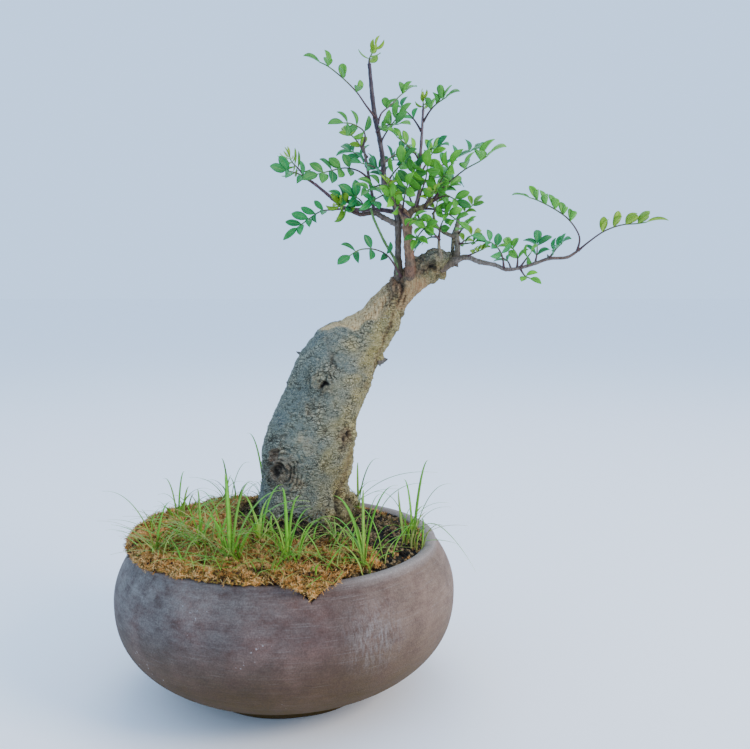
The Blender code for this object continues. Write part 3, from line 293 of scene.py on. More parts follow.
# Grass: name, root x and y, then for each blade its heading, reach, height and width
GRASS = [
    ("grass_front_left", -26, -72, [(112, 26, 46, 3.2), (60, 18, 44, 2.2), (28, 36, 38, 3),
     (150, 26, 26, 1.8), (330, 24, 24, 1.8)]),
    ("grass_left_middle", -50, -44, [(164, 20, 28, 1.8), (36, 28, 26, 2), (284, 20, 20, 1.8),
     (100, 16, 30, 1.6)]),
    ("grass_left_rim", -78, -46, [(165, 38, 34, 1.4), (70, 18, 26, 1.6), (300, 26, 16, 1.8),
     (350, 34, 20, 1.6)]),
    ("grass_left_back", -80, 24, [(150, 12, 26, 1.6), (70, 10, 30, 1.6), (330, 26, 22, 1.6)]),
    ("grass_back_left", -50, 66, [(133, 14, 30, 1.8), (24, 16, 28, 1.8), (226, 18, 18, 1.6)]),
    ("grass_behind", -24, 76, [(140, 20, 48, 2), (40, 16, 30, 1.6)]),
    ("grass_middle", -12, -46, [(136, 22, 26, 1.8), (52, 22, 30, 1.8), (226, 20, 18, 1.8)]),
    ("grass_front", 8, -74, [(95, 10, 40, 2.2), (150, 18, 26, 2), (40, 20, 26, 2), (200, 26, 18, 1.8)]),
    ("grass_front_right", 54, -70, [(135, 30, 34, 3), (45, 26, 42, 1.8), (100, 12, 40, 2),
     (170, 26, 22, 1.8)]),
    ("grass_right", 86, -22, [(58, 28, 46, 2.2), (122, 12, 36, 1.8), (331, 44, -18, 1.8),
     (10, 26, 34, 1.6)]),
    ("grass_right_back", 48, 66, [(350, 60, 24, 2), (100, 16, 26, 1.8), (40, 20, 30, 1.6)]),
]

# Blades that lean across the tufts: root x and y, heading, reach, height and width
LEANING_BLADES = [
    (-28, -70, 182, 18, 44, 2.2), (-24, -70, 2, 46, 38, 2.2), (-26, -68, 200, 34, 28, 1.8),
    (-22, -72, 340, 26, 28, 1.8), (-30, -66, 150, 30, 32, 1.6), (8, -72, 70, 8, 38, 2),
    (6, -70, 190, 20, 28, 1.6), (12, -70, 350, 22, 26, 1.8), (54, -68, 172, 24, 26, 3),
    (52, -66, 10, 14, 40, 2), (56, -68, 350, 34, 24, 1.6), (-52, -44, 10, 26, 24, 1.6),
    (-50, -40, 200, 30, 18, 1.6), (-12, -44, 185, 30, 24, 1.8), (-10, -46, 5, 30, 22, 1.8),
    (84, -20, 200, 22, 32, 1.8), (78, -26, 345, 30, 26, 1.6), (-64, -50, 190, 34, 16, 1.4),
    (30, -74, 160, 28, 22, 1.6), (32, -70, 20, 26, 26, 1.6), (-66, -12, 20, 24, 20, 1.6),
    (66, -50, 165, 20, 28, 1.8), (50, 52, 185, 26, 22, 1.8), (64, 44, 10, 34, 20, 1.8),
]

# How the leaves grow
HOLE_GAP = 0.4
SEAT_REACH = 4.0
STALK_RADII = (0.62, 0.40)
STALK_SIDES = 7
PAIR_ANGLE = 62.0
PAIR_CLOSING = 3.0
PAIR_SHRINKING = 0.08
FIRST_PAIR = 0.40
LAST_PAIR = 0.88
SINGLE_PAIR = 0.62
END_LEAFLET = 1.1
SWINGS = (0, 6, -6, 12, -12, 18, -18, 24, -24, 30, -30, 38, -38, 46, -46, 55, -55)
BLADE = 0.26
BLADE_TROUGH = 0.16
# Outline and arch of a leaflet: share of its length, half its width, rise
BLADE_ROWS = ((0.0, 0.04, 0.0), (0.06, 0.09, 0.005), (0.15, 0.24, 0.02), (0.27, 0.38, 0.035),
              (0.41, 0.47, 0.045), (0.56, 0.50, 0.045), (0.70, 0.47, 0.035), (0.82, 0.38, 0.02),
              (0.91, 0.25, 0.0), (0.97, 0.13, -0.02), (1.0, 0.04, -0.04))
# Points round a leaflet, from side to side over its face and back under it
LEAFLET_SIDES = [-1.0, -0.5, 0.0, 0.5, 1.0, 0.5, 0.0, -0.5]
LEAFLET_UNDER = [0.0] * 5 + [1.0] * 3
LENGTHENED = 1.18
WIDENED = 1.17
# How leaflets differ by chance: turned about their midrib, folded up, curled back and bent aside
LEAFLET_TWIST = (-0.6, 0.6)
LEAFLET_FOLD = (8, 46)
LEAFLET_CURL = (-0.06, 0.16)
LEAFLET_BEND = (-0.12, 0.12)
# Leaves that are darker or lighter than chance would make them
HUES = {"leaf_left_high": 0.0, "leaf_slim_left": 0.25, "leaf_top_left": 0.35,
        "leaf_arch": 0.6, "leaf_end": 0.8, "leaf_right_big": 0.7, "extra_fork_front": 0.9,
        "leaf_heart_front": 0.75, "extra_fork_up": 0.95, "leaf_limb_low": 0.7, "leaf_fork_low": 0.8,
        "leaf_heart_left": 0.1, "leaf_heart_low": 0.05}
# Tufts of young growth: leaflets, how far the lowest ones open, a share of the width, how much
# longer than its stalk the tuft is, and the leaflets' size
TUFTS = {"tuft_leader": (7, 76, 1.05, 4.0, 0.78), "tuft_second": (7, 66, 0.90, 3.0, 0.80),
         "tuft_left": (15, 80, 0.36, 2.0, 1.14), "tuft_limb": (10, 74, 1.0, 1.0, 1.0)}
TUFT_TURN = 137.5

# How the grass grows
BLADE_LEAN = 1.4
BLADE_START = 1.1
BLADE_ROOT = 1.2
TUFT_ABOVE_SOIL = 9.0
HANGING_RISE = 14.0
GRASS_ROWS = 16
FINE_BLADES = 18
ROOT_DEPTH = 3.0
SPROUTS = 330
FEWER_BLADES = {"grass_front_right": 7, "grass_right_back": 8, "grass_right": 14}

# Bare wood on the cut shoulder, as an outline in the upright plane
BARE_WOOD = [
    (24, 243), (31, 243), (38, 246), (45, 243), (50, 243), (56, 249), (62, 250), (67, 257), (71, 267),
    (72, 276), (70, 290), (50, 290), (15, 262),
]
# Under the old arm the bark has peeled off smooth, and the crags sit round the fork's foot
PEELED = [
    (84, 280), (90, 277), (98, 276), (96, 268), (89, 261), (82, 256), (75, 257), (79, 266), (82, 273),
]
CRAGGY_AT = (79, 277)
# Knots and scars: (x, z) as seen or else x, y and z, then radius, dome, rim, hollow, ripples,
# and how dark, rusty and pale
SCARS = [
    ((-6, 146), 4.6, 0, 1.1, 2.2, 0, 0.8, 0.3, 0), ((-3, 150), 3.6, 0, 0.7, 1.6, 0, 0.6, 0.4, 0),
    ((-4, 147), 15, 1.8, 0.3, 0, 1.15, 0.15, 0.5, 0), ((-7, 158), 5, 1.2, 1.3, 1.4, 0.8, 0.25, 1.6, 0.3),
    ((8, 137), 5, 1, 0.9, 0.3, 0.3, 0, 0.3, 0.4), ((24, 209), 6.8, 1.2, 1.7, 0.9, 0.9, 0, 0, 0.75),
    ((28, 207), 2.8, 0, 0.6, 2.8, 0, 1.2, 0, 0), ((25, 205), 2.2, 0, 0.3, 1.8, 0, 1, 0, 0),
    ((24, 208), 10.5, 0.5, 0.3, 0, 0.8, 0.1, 0.1, 0), ((18, 190), 4.6, 0.4, 1, 0.7, 0.3, 0.15, 0.1, 0.25),
    ((15, 191), 8, 0.2, 0.3, 0, 0.3, 0, 0.1, 0), ((9, 170), 4.5, 0.2, 0, 0, 0, 0, 0.1, 0.35),
    ((13, 166), 6, 0.3, 0.2, 0, 0, 0, 0.2, 0.4), ((17, 162), 4.5, 0.2, 0, 0, 0, 0, 0.1, 0.3),
    ((42, 172), 3, 0.6, 0.9, 1.7, 0, 0.9, 0.3, 0), ((39, 169), 2.4, 0.3, 0.6, 1, 0, 0.7, 0.3, 0),
    ((41, 171), 7.5, 0.9, 0.4, 0, 0.5, 0.25, 0.7, 0), ((39, 163), 5.5, 0.5, 0.7, 0.5, 0.3, 0.4, 0.2, 0.1),
    ((43, 122), 11, 0, 0, 0, 0, 0.45, 0.5, 0), ((54, 206), 3.4, 0.6, 0.4, 0.4, 0, 0.35, 0.3, 0),
    ((10, 228), 4, 1, 0, 0, 0, 0.2, 0, 0.1), ((4, 208), 4.4, 1.4, 0.3, 0, 0, 0.2, 0, 0.3),
    ((-12, 172), 4, 1, 0.3, 0, 0, 0.3, 0, 0), ((40, 226), 7, 0.5, 0.3, 0, 0.3, 0.1, 0, 0),
    ((97, 286), 5.2, 0, 0.9, 0.9, 0, 0.65, 0, 0), ((105, 291), 4.6, 1.3, 0.4, 0, 0.3, 0, 0.2, 0.55),
    ((101, 282), 2.6, 0, 0.4, 1, 0, 0.6, 0.3, 0), ((92, 269), 6, 0, 0.2, 0, 0, 0, 1.3, 0.35),
    ((105, 280), 3, 0.3, 0, 0, 0.3, 0.3, 0.8, 0),
    # The photograph doesn't show these
    ((30, 60, 178), 6, 1.2, 1.4, 1.6, 0.7, 0.6, 0.5, 0.2),
    ((0, 58, 150), 5, 1, 1, 0.6, 0.5, 0.2, 0.4, 0.2),
    ((52, 50, 205), 4.5, 1, 0.9, 1.2, 0.3, 0.6, 0.3, 0.2),
    ((18, 56, 212), 4, 1.2, 0.6, 0, 0.2, 0.1, 0.2, 0.3),
    ((28, 60, 134), 8, 0.6, 0.5, 0, 0.8, 0.1, 0.3, 0.1),
    ((8, 41, 197), 6.5, 1.6, 1.6, 1.2, 0.9, 0.6, 0.3, 0.3),
    ((6, 41, 198), 12, 0.8, 0.2, 0, 0.9, 0.05, 0.2, 0),
    ((-9, 46, 156), 5, 1.2, 1.2, 1, 0.7, 0.5, 0.4, 0.2), ((24, 38, 226), 4, 1.6, 0.6, 0, 0, 0.1, 0, 0.4),
    ((-16, 34, 134), 7, 1.4, 0.2, 0, 0.4, 0, 0, 0.4),
]
# Cracks: width, depth, how dark and how rusty, then their way, in places as above
CRACKS = [
    (1, 1, 0.7, 0.7, [(77, 279), (78, 268), (76, 258), (70, 244), (66, 234), (62, 224), (59, 214)]),
    (1, 0.8, 0.5, 0.3, [(72, 281), (74, 270), (70, 260), (66, 252)]),
    (0.8, 0.7, 0.6, 0.3, [(82, 283), (80, 272), (81, 262), (77, 252)]),
    (3.2, 4, 1, 0, [(36, 130), (35, 122), (36, 112)]),
    (1.2, 0.8, 0.6, 0.2, [(-12, 166), (-9, 169), (-4, 170), (0, 171)]),
    (2.4, 1.2, 0.3, 0.5, [(44, 160), (41, 148), (38, 138), (37, 130)]),
    (1.1, 0.7, 0.6, 0.2, [(30, 236), (31, 226), (34, 218)]),
    (1.4, 1.2, 0.7, 0.3, [(84, 281), (92, 281), (100, 285)]),
    (2, 2, 0.95, 0.3, [(73, 284), (76, 278), (79, 270)]),
    # The photograph doesn't show these
    (1.1, 1.1, 0.7, 0.3, [(28, 44, 232), (20, 46, 218), (16, 48, 203), (12, 52, 186), (4, 54, 172)]),
    (0.9, 0.8, 0.6, 0.2, [(-10, 40, 148), (-6, 48, 136), (-8, 50, 122)]),
    (1, 0.8, 0.6, 0.2, [(50, 42, 214), (42, 48, 196), (40, 50, 180)]),
    (1.4, 1.2, 0.7, 0.2, [(16, 56, 146), (14, 58, 130), (18, 60, 116)]),
]

# A branch whose foot is thicker than this takes the old wood's colour there
THICK_FOOT = 2.5
FOOT_COLOUR = "65523C"
# Colours of moss, damp moss and soil: two of a ramp's stops, then those between them. Of two
# stops at 1.0 the first counts below it, and the last from there on.
MOSS_STOPS = [(0.60, "150D06"), (1.0, "F0C07C"), (0.70, "58361C"), (0.81, "A86C30"), (0.94, "D6964C"),
              (0.76, "706828")]
DAMP_STOPS = [(0.66, "0A0906"), (1.0, "AC8A70"), (0.80, "1E180F"), (0.88, "36381A"), (1.0, "666432")]
SOIL_STOPS = [(0.66, "070604"), (1.0, "967E5A"), (0.84, "191309"), (1.0, "46381F")]
SIDE_VEINS = 9

# Studio, in metres: lamps as name, place, aim, size, power and colour
FLOOR_REACH = 12.0
FLOOR_COLOUR = "FAFBFC"
SKY_COLOUR = "B2D2FA"
SKY_STRENGTH = 1.9
LAMPS = [
    ("key", (1.5, -0.8, 1.15), (0.03, 0.0, 0.18), 0.7, 31.0, "FFEAD2"),
    ("fill", (-1.4, -1.2, 0.9), (0.03, 0.0, 0.18), 1.4, 3.0, "DCE8FF"),
    ("top", (-0.1, 0.9, 1.7), (0.03, 0.0, 0.2), 1.0, 8.0, "FFFFFF"),
]

# The inputs of a Mix node between its share and its two colours, and its output of a colour
MIX_SKIPS = [None] * 5
MIX_RESULT = 2


def colour(code):
    """Turn an sRGB hex colour into linear light."""
    channels = [int(code[i:i + 2], 16) / 255 for i in (0, 2, 4)]
    lit = [c / 12.92 if c <= 0.04045 else ((c + 0.055) / 1.055) ** 2.4 for c in channels]
    return (*lit, 1.0)


def grain(*widths):
    """Return the scale for a pattern of features this wide in millimetres, all round or per axis."""
    scales = tuple(1000.0 / width for width in widths)
    return scales if len(widths) > 1 else scales[0]


def ease(low, high, value):
    """Rise smoothly from 0 at one value to 1 at another."""
    t = min(1.0, max(0.0, (value - low) / (high - low)))
    return t * t * (3.0 - 2.0 * t)


def heading_vector(degrees):
    """Return the level direction at an angle from +X."""
    angle = math.radians(degrees)
    return Vector((math.cos(angle), math.sin(angle), 0.0))


def seen(x, z, depth):
    """Return the point at a depth that lines up with (x, z) of the plane through the axis."""
    reach = 1.0 - depth / VIEW_POINT.y
    return Vector((VIEW_POINT.x + (x - VIEW_POINT.x) * reach, depth,
                   VIEW_POINT.z + (z - VIEW_POINT.z) * reach))


def lined_up(place):
    """Return the (x, z) of the plane through the axis that a point lines up with."""
    reach = 1.0 - place.y / VIEW_POINT.y
    return (VIEW_POINT.x + (place.x - VIEW_POINT.x) / reach,
            VIEW_POINT.z + (place.z - VIEW_POINT.z) / reach)


def smoothed(points, added):
    """Return points on a smooth curve through a route, with some added in each span."""
    ends = [points[0]] + list(points) + [points[-1]]
    result = []
    for a, b, c, d in zip(ends, ends[1:], ends[2:], ends[3:]):
        for i in range(added + 1):
            t = i / (added + 1)
            result.append(tuple(
                0.5 * (2 * q + (r - p) * t + (2 * p - 5 * q + 4 * r - s) * t ** 2
                       + (3 * q - p - 3 * r + s) * t ** 3)
                for p, q, r, s in zip(a, b, c, d)))
    result.append(tuple(points[-1]))
    return result


class Skin:
    """The points and faces of one piece, each point with its marks for the material."""

    def __init__(self, *marks):
        self.marks = {mark: [] for mark in marks}
        self.points = []
        self.faces = []

    def row(self, places, *values):
        """Add a row of points, with a value or a list of values for each mark."""
        first = len(self.points)
        self.points.extend(places)
        for name, value in zip(self.marks, values):
            self.marks[name].extend(value if isinstance(value, list) else [value] * len(places))
        return range(first, len(self.points))

    def bridge(self, low, high):
        """Join two rings of points."""
        for i in range(len(low)):
            j = (i + 1) % len(low)
            self.faces.append((low[i], low[j], high[j], high[i]))

    def sheet(self, low, high):
        """Join two open rows of points."""
        for i in range(len(low) - 1):
            self.faces.append((low[i], low[i + 1], high[i + 1], high[i]))

    def lid(self, ring):
        """Close a ring."""
        self.faces.append(tuple(ring))

    def tube(self, rings):
        """Join rings of points to a tube that is closed at both ends."""
        for low, high in zip(rings, rings[1:]):
            self.bridge(low, high)
        self.lid(rings[0])
        self.lid(rings[-1])

    def mesh(self, name):
        """Store the shape as a mesh in metres, with every face turned outward."""
        made = bpy.data.meshes.new(name)
        made.from_pydata([place * MM for place in self.points], [], self.faces)
        for mark, values in self.marks.items():
            if isinstance(values[0], tuple):
                made.attributes.new(mark, "FLOAT_COLOR", "POINT").data.foreach_set(
                    "color", [channel for value in values for channel in value])
            else:
                made.attributes.new(mark, "FLOAT", "POINT").data.foreach_set("value", values)
        shape = bmesh.new()
        shape.from_mesh(made)
        bmesh.ops.recalc_face_normals(shape, faces=shape.faces)
        shape.to_mesh(made)
        shape.free()
        return made


def add_object(name, mesh):
    """Put a mesh into the scene as an object at the origin."""
    made = bpy.data.objects.new(name, mesh)
    bpy.context.scene.collection.objects.link(made)
    return made


def add_piece(name, mesh, finish, nodes=()):
    """Add a finished piece that rides on the tree's one body and may stand for CAD nodes."""
    made = add_object(name, mesh)
    mesh.materials.clear()
    mesh.materials.append(finish)
    mesh.shade_smooth()
    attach(made, "root")
    if nodes:
        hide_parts(*nodes)
    return made


def evaluated(item):
    """Return a plain mesh of an object with its modifiers applied."""
    bpy.context.view_layer.update()
    graph = bpy.context.evaluated_depsgraph_get()
    return bpy.data.meshes.new_from_object(item.evaluated_get(graph), depsgraph=graph)


def cut(mesh, cutters):
    """Cut the shapes of other meshes out of a mesh and return the result."""
    base = add_object("base", mesh)
    holders = [add_object("cutter", cutter) for cutter in cutters]
    for holder in holders:
        hole = base.modifiers.new("hole", "BOOLEAN")
        hole.object = holder
    result = evaluated(base)
    for item in [base] + holders:
        bpy.data.objects.remove(item, do_unlink=True)
    return result


def merged_tree(name):
    """Return a search tree of a CAD node, with its points merged."""
    shape = bmesh.new()
    shape.from_mesh(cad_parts[name].data)
    bmesh.ops.remove_doubles(shape, verts=shape.verts, dist=1e-6)
    tree = BVHTree.FromBMesh(shape)
    shape.free()
    return tree


WOOD_TREE = merged_tree("wood")


def belly(share):
    """Return a point of the bowl below its widest ring, from 0 there to 1 at the foot."""
    down = share ** 0.85 * (1.0 - FOOT_HEIGHT / BELLY_Z)
    radius = BOWL_RADIUS * (1.0 - down ** BELLY_POWER) ** (1.0 / BELLY_POWER)
    return radius, BELLY_Z * (1.0 - down)


def shoulder(share):
    """Return a point of the bowl above its widest ring, from 0 there to 1 at the rim."""
    full = math.acos(SHOULDER_RADIUS / BOWL_RADIUS)
    rise = (RIM_Z - RIM_HEIGHT - BELLY_Z) * math.sin(share * full) / math.sin(full)
    return BOWL_RADIUS * math.cos(share * full), BELLY_Z + rise


def inner_wall(inset):
    """Return the inside of the bowl from its floor to its rim, moved in by an inset."""
    lower = [belly(share) for share in (0.75, 0.5, 0.25)]
    points = [(radius - WALL - inset, height + 2.0) for radius, height in lower]
    points += [(radius - WALL - inset, height) for radius, height in map(shoulder, (0, 0.5, 1))]
    return points


def turned(profile):
    """Return a profile of (radius, height) turned round the axis, with a hand-made wobble."""
    skin = Skin()
    rings = []
    for radius, height in profile:
        ring = []
        for step in range(BOWL_STEPS):
            out = heading_vector(360.0 * step / BOWL_STEPS)
            near = HAND_WOBBLE * noise.noise(Vector((out.x * 2.2, out.y * 2.2, height / 40.0)))
            rise = 0.5 * near if height > FOOT_HEIGHT else 0.0
            ring.append(out * (radius + near) + UP * (height + rise))
        rings.append(skin.row(ring))
    skin.tube(rings)
    return skin.mesh("bowl")


def drain_cutter(heading):
    """Return the upright cylinder that leaves a drain hole."""
    skin = Skin()
    spot = heading_vector(heading) * DRAIN_DISTANCE
    outline = [spot + heading_vector(360.0 * i / DRAIN_SIDES) * DRAIN_RADIUS for i in range(DRAIN_SIDES)]
    skin.tube([skin.row([place + UP * height for place in outline]) for height in (-2.0, FLOOR_Z + 2.0)])
    return skin.mesh("drain")


def chip_ring(outward, distance, radius, rough, top=None):
    """Return a ring of the chip at a distance from the bowl's axis, cut flat at a top."""
    across = UP.cross(outward)
    ring = []
    for i in range(CHIP_SIDES):
        angle = 2 * math.pi * i / CHIP_SIDES
        aside, up = math.cos(angle), math.sin(angle)
        own = radius + rough * noise.noise(Vector((3 * aside, 3 * up, distance / 2.5)))
        place = outward * distance + UP * CHIP_Z
        place += across * CHIP_WIDER * own * aside * abs(aside) + UP * CHIP_DEEPER * own * up * abs(up)
        if top is not None and place.z > top:
            place.z = top + 1.3 * noise.noise(place / 3.0)
        ring.append(place)
    return ring


def chip_way():
    """Return the level direction from the bowl's axis to the chip in its rim."""
    return Vector((CHIP_X, -math.sqrt(RIM_RADIUS ** 2 - CHIP_X ** 2), 0.0)).normalized()


def chip_cutter():
    """Return the rough shape that broke out of the rim."""
    skin = Skin()
    rings = []
    for step in range(CHIP_STEPS):
        distance = RIM_RADIUS - CHIP_INWARD + CHIP_SPAN * step / (CHIP_STEPS - 1)
        rings.append(skin.row(chip_ring(chip_way(), distance, CHIP_RADIUS, CHIP_ROUGH)))
    skin.tube(rings)
    return skin.mesh("chip")


def make_pot(finish):
    """Make the bowl, with its drain holes and its chipped rim."""
    inside = inner_wall(0.0)
    profile = [(1.0, FLOOR_Z), (inside[0][0] - FLOOR_CORNER, FLOOR_Z)] + inside
    lip = RIM_RADIUS - WALL
    profile += [(lip + 0.6, RIM_Z - 1.6), (lip + 1.7, RIM_Z - 0.5), (lip + 3.2, RIM_Z),
                (RIM_RADIUS - 2.6, RIM_Z), (RIM_RADIUS - 1.2, RIM_Z - 0.5), (RIM_RADIUS - 0.5, RIM_Z - 1.4)]
    profile += [shoulder(1.0 - i / SHOULDER_STEPS) for i in range(SHOULDER_STEPS + 1)]
    profile += [belly(i / BELLY_STEPS) for i in range(1, BELLY_STEPS + 1)]
    profile += [(FOOT_RADIUS + 0.6, FOOT_HEIGHT - 0.6), (FOOT_RADIUS, FOOT_HEIGHT - 1.6),
                (FOOT_RADIUS, 1.0), (FOOT_RADIUS - 1.0, 0.0), (FOOT_RADIUS - 8.0, 0.0), (1.0, 0.0)]
    cutters = [chip_cutter()] + [drain_cutter(90 + 360 * i / DRAIN_HOLES) for i in range(DRAIN_HOLES)]
    add_piece("bowl", cut(turned(profile), cutters), finish, ["pot"])


def soil_height(x, y):
    """Return the height of the soil's surface."""
    share = min(1.0, math.hypot(x, y) / (RIM_RADIUS - WALL))
    lumps = SOIL_LUMP * math.sin(x / 9.0 + 1.0) * math.cos(y / 11.0) * (1.0 - share ** 4)
    return SOIL_EDGE_Z + SOIL_MOUND * (1.0 - share ** 2) + lumps


def soil_top(place):
    """Raise a spot to the crumbly surface of the soil."""
    crumbs = 1.9 * noise.noise(place / 7.0) + 1.0 * noise.noise(place / 2.6)
    return Vector((place.x, place.y, soil_height(place.x, place.y) + crumbs))


def make_soil(finish):
    """Make the soil that fills the bowl; its marks say how much crumb and how much moss it holds."""
    wall = inner_wall(GAP)
    edge = wall[-1][0]
    skin = Skin("crumbs", "sprigs")
    rings = []
    ways = [heading_vector(360.0 * i / SOIL_SPOKES) for i in range(SOIL_SPOKES)]
    for step in range(1, SOIL_RINGS + 1):
        ring = [soil_top(way * edge * step / SOIL_RINGS) for way in ways]
        mossy = [ease(-0.05, 0.25, noise.noise(place / 13.0)) for place in ring]
        rings.append(skin.row(ring, [1.0 - value for value in mossy], mossy))
    skin.lid(rings[0])
    for radius, height in wall[-2::-1] + [(wall[0][0] - FLOOR_CORNER, FLOOR_Z + GAP)]:
        rings.append(skin.row([way * radius + UP * height for way in ways], 0.0, 0.0))
    for low, high in zip(rings, rings[1:]):
        skin.bridge(low, high)
    skin.lid(rings[-1])
    return add_piece("soil_bed", skin.mesh("soil_bed"), finish, ["soil"])


def moss_reach(heading):
    """Return how far the moss reaches from the bowl's axis: over the rim at left and front."""
    left = max(0.0, math.cos(math.radians(heading - MOSS_LEFT))) ** 0.5
    off_front = min(MOSS_FRONT_HALF, abs(heading - MOSS_FRONT)) / MOSS_FRONT_HALF
    front = math.cos(off_front * math.pi / 2)
    shelf = MOSS_SHELF * ease(0.80, 0.97, left)
    return MOSS_INSIDE + (MOSS_EDGE_REACH - MOSS_INSIDE) * max(min(1.0, 1.6 * left), front) + shelf


def moss_floor(place):
    """Return the height of the underside of the moss: on the soil inside, over the rim outside."""
    distance = math.hypot(place.x, place.y)
    over = ease(MOSS_RIM_FROM - 2.0, MOSS_RIM_FROM + 2.0, distance)
    inside = soil_height(place.x, place.y) + MOSS_ON_SOIL
    droop = MOSS_DROOP * max(0.0, distance - RIM_RADIUS)
    return inside + (RIM_Z + MOSS_ON_RIM - inside) * over - droop


def make_moss(finish):
    """Make the shaggy mat of moss with its ragged border and the tongue in the chip."""
    skin = Skin("sprigs", "fringe")
    nets = ([], [])
    for spoke in range(MOSS_SPOKES + 1):
        heading = MOSS_START + (MOSS_END - MOSS_START) * spoke / MOSS_SPOKES
        ragged = noise.noise(Vector((heading / 1.8, 0.0, 0.0))) + noise.noise(Vector((heading / 6, 5, 0)))
        reach = moss_reach(heading) - 0.6 + MOSS_RAGGED * ragged
        from_end = min(spoke, MOSS_SPOKES - spoke)
        side = 1.0 - ease(0, 36, from_end)
        low, high, fringe = [], [], []
        for step in range(MOSS_STEPS + 1):
            distance = MOSS_CORE + (reach - MOSS_CORE) * step / MOSS_STEPS
            wander = 3.0 * noise.noise(Vector((distance / 4.0, 3.0, 0.0)))
            turn = heading + side * (5.0 * math.sin(distance / 9.0) + wander)
            spot = heading_vector(turn) * distance
            floor = moss_floor(spot)
            border = min(ease(0.0, MOSS_BORDER, reach - distance), ease(0, 6, from_end))
            lumps = 3.0 * noise.noise(spot / 7.5) + 2.1 * noise.noise(spot / 2.7) + MOSS_LUMPS
            low.append(spot + UP * floor)
            high.append(spot + UP * (floor + MOSS_THIN + lumps * (0.25 + 0.75 * border)))
            fringe.append(1.0 - ease(1.0, MOSS_FRINGE, reach - distance))
        nets[0].append(skin.row(low, 0.0, 0.0))
        nets[1].append(skin.row(high, 1.0, fringe))
    for net in nets:
        for left, right in zip(net, net[1:]):
            skin.sheet(left, right)
    for end in (-1, 0):
        skin.sheet(*([row[end] for row in net] for net in nets))
    for end in (0, -1):
        skin.sheet(nets[0][end], nets[1][end])
    rings = []
    for step in range(TONGUE_STEPS):
        shrink = 1.0 - 0.55 * ease(8, 12, step)
        ring = chip_ring(chip_way(), RIM_RADIUS - TONGUE_INWARD + step,
                         (CHIP_RADIUS - TONGUE_CLEAR) * shrink, TONGUE_ROUGH, RIM_Z + TONGUE_RISE * shrink)
        rings.append(skin.row(ring, 1.0, 1.0))
    skin.tube(rings)
    return add_piece("moss_mat", skin.mesh("moss_mat"), finish, ["moss"])


def base_radius(angle):
    """Return the trunk's radius at the soil, with its root lobes."""
    return BASE_RADIUS + 2.0 * math.cos(3 * angle + 0.6) + 1.2 * math.cos(5 * angle - 1.0)


def trunk_rings():
    """Return the trunk's rings: middle, direction, radius, share of lobes and way from the foot."""
    path = [(*seen(x, z, depth), radius * (1.0 - depth / VIEW_POINT.y)) for x, z, depth, radius in TRUNK]
    samples = smoothed(path, TRUNK_SPAN_STEPS)
    foot = Vector((TRUNK_X, TRUNK_Y, TRUNK_LOW))
    ground = Vector((TRUNK_X, TRUNK_Y, GROUND_Z))
    rings = [(foot + UP * rise, UP, BASE_RADIUS, 1.0, rise) for rise in (0, 10, 16, *range(20, 28))]
    way = GROUND_Z - TRUNK_LOW
    for step in range(FLARE_STEPS):
        share = step / FLARE_STEPS
        here = ground.lerp(Vector(samples[TRUNK_FIRST][:3]), share)
        radius = BASE_RADIUS + (samples[TRUNK_FIRST][3] - BASE_RADIUS) * share
        rings.append((here, UP, radius, 1.0, way))
        way += 0.9
    for i in range(TRUNK_FIRST, len(samples)):
        before = Vector(samples[i - 1][:3])
        here = Vector(samples[i][:3])
        after = Vector(samples[min(i + 1, len(samples) - 1)][:3])
        lobed = min(1.0, max(0.0, 1.4 - (here.z - GROUND_Z) / LOBES_HEIGHT))
        way += (here - before).length
        rings.append((here, (after - before).normalized(), samples[i][3], lobed, way))
    return rings


def on_wood(x, z):
    """Return the point of the CAD wood that shows at (x, z)."""
    aim = (seen(x, z, 0.0) - VIEW_POINT).normalized()
    hit = WOOD_TREE.ray_cast(VIEW_POINT * MM, aim)[0]
    if hit is None:
        return nearest_wood(seen(x, z, 12.0))
    return hit / MM


def nearest_wood(place):
    """Return the point of the CAD wood nearest to a place."""
    return WOOD_TREE.find_nearest(Vector(place) * MM)[0] / MM


def wood_at(where):
    """Return the CAD wood's point that shows at an (x, z), or that is nearest to x, y and z."""
    return on_wood(*where) if len(where) == 2 else nearest_wood(where)


def bulged(place, out, reach, balls):
    """Return how far the wood reaches from its middle where round burrs stand on it."""
    for centre, radius in balls:
        away = centre - place
        along = away.dot(out)
        aside = away.length_squared - along * along
        if along > 0.0 and aside < radius * radius:
            burr = along + math.sqrt(radius * radius - aside)
            near = max(FILLET - abs(reach - burr), 0.0) / FILLET
            reach = max(reach, burr) + near * near * FILLET / 4.0
    return reach


def inside_by(x, z, outline):
    """Return how far a point is inside an outline, below zero outside it."""
    nearest = 1e9
    inside = False
    for (ax, az), (bx, bz) in zip(outline, outline[1:] + outline[:1]):
        dx, dz = bx - ax, bz - az
        t = min(1.0, max(0.0, ((x - ax) * dx + (z - az) * dz) / (dx * dx + dz * dz)))
        nearest = min(nearest, math.hypot(x - ax - t * dx, z - az - t * dz))
        if (az > z) != (bz > z) and x < ax + dx * (z - az) / dz:
            inside = not inside
    return nearest if inside else -nearest


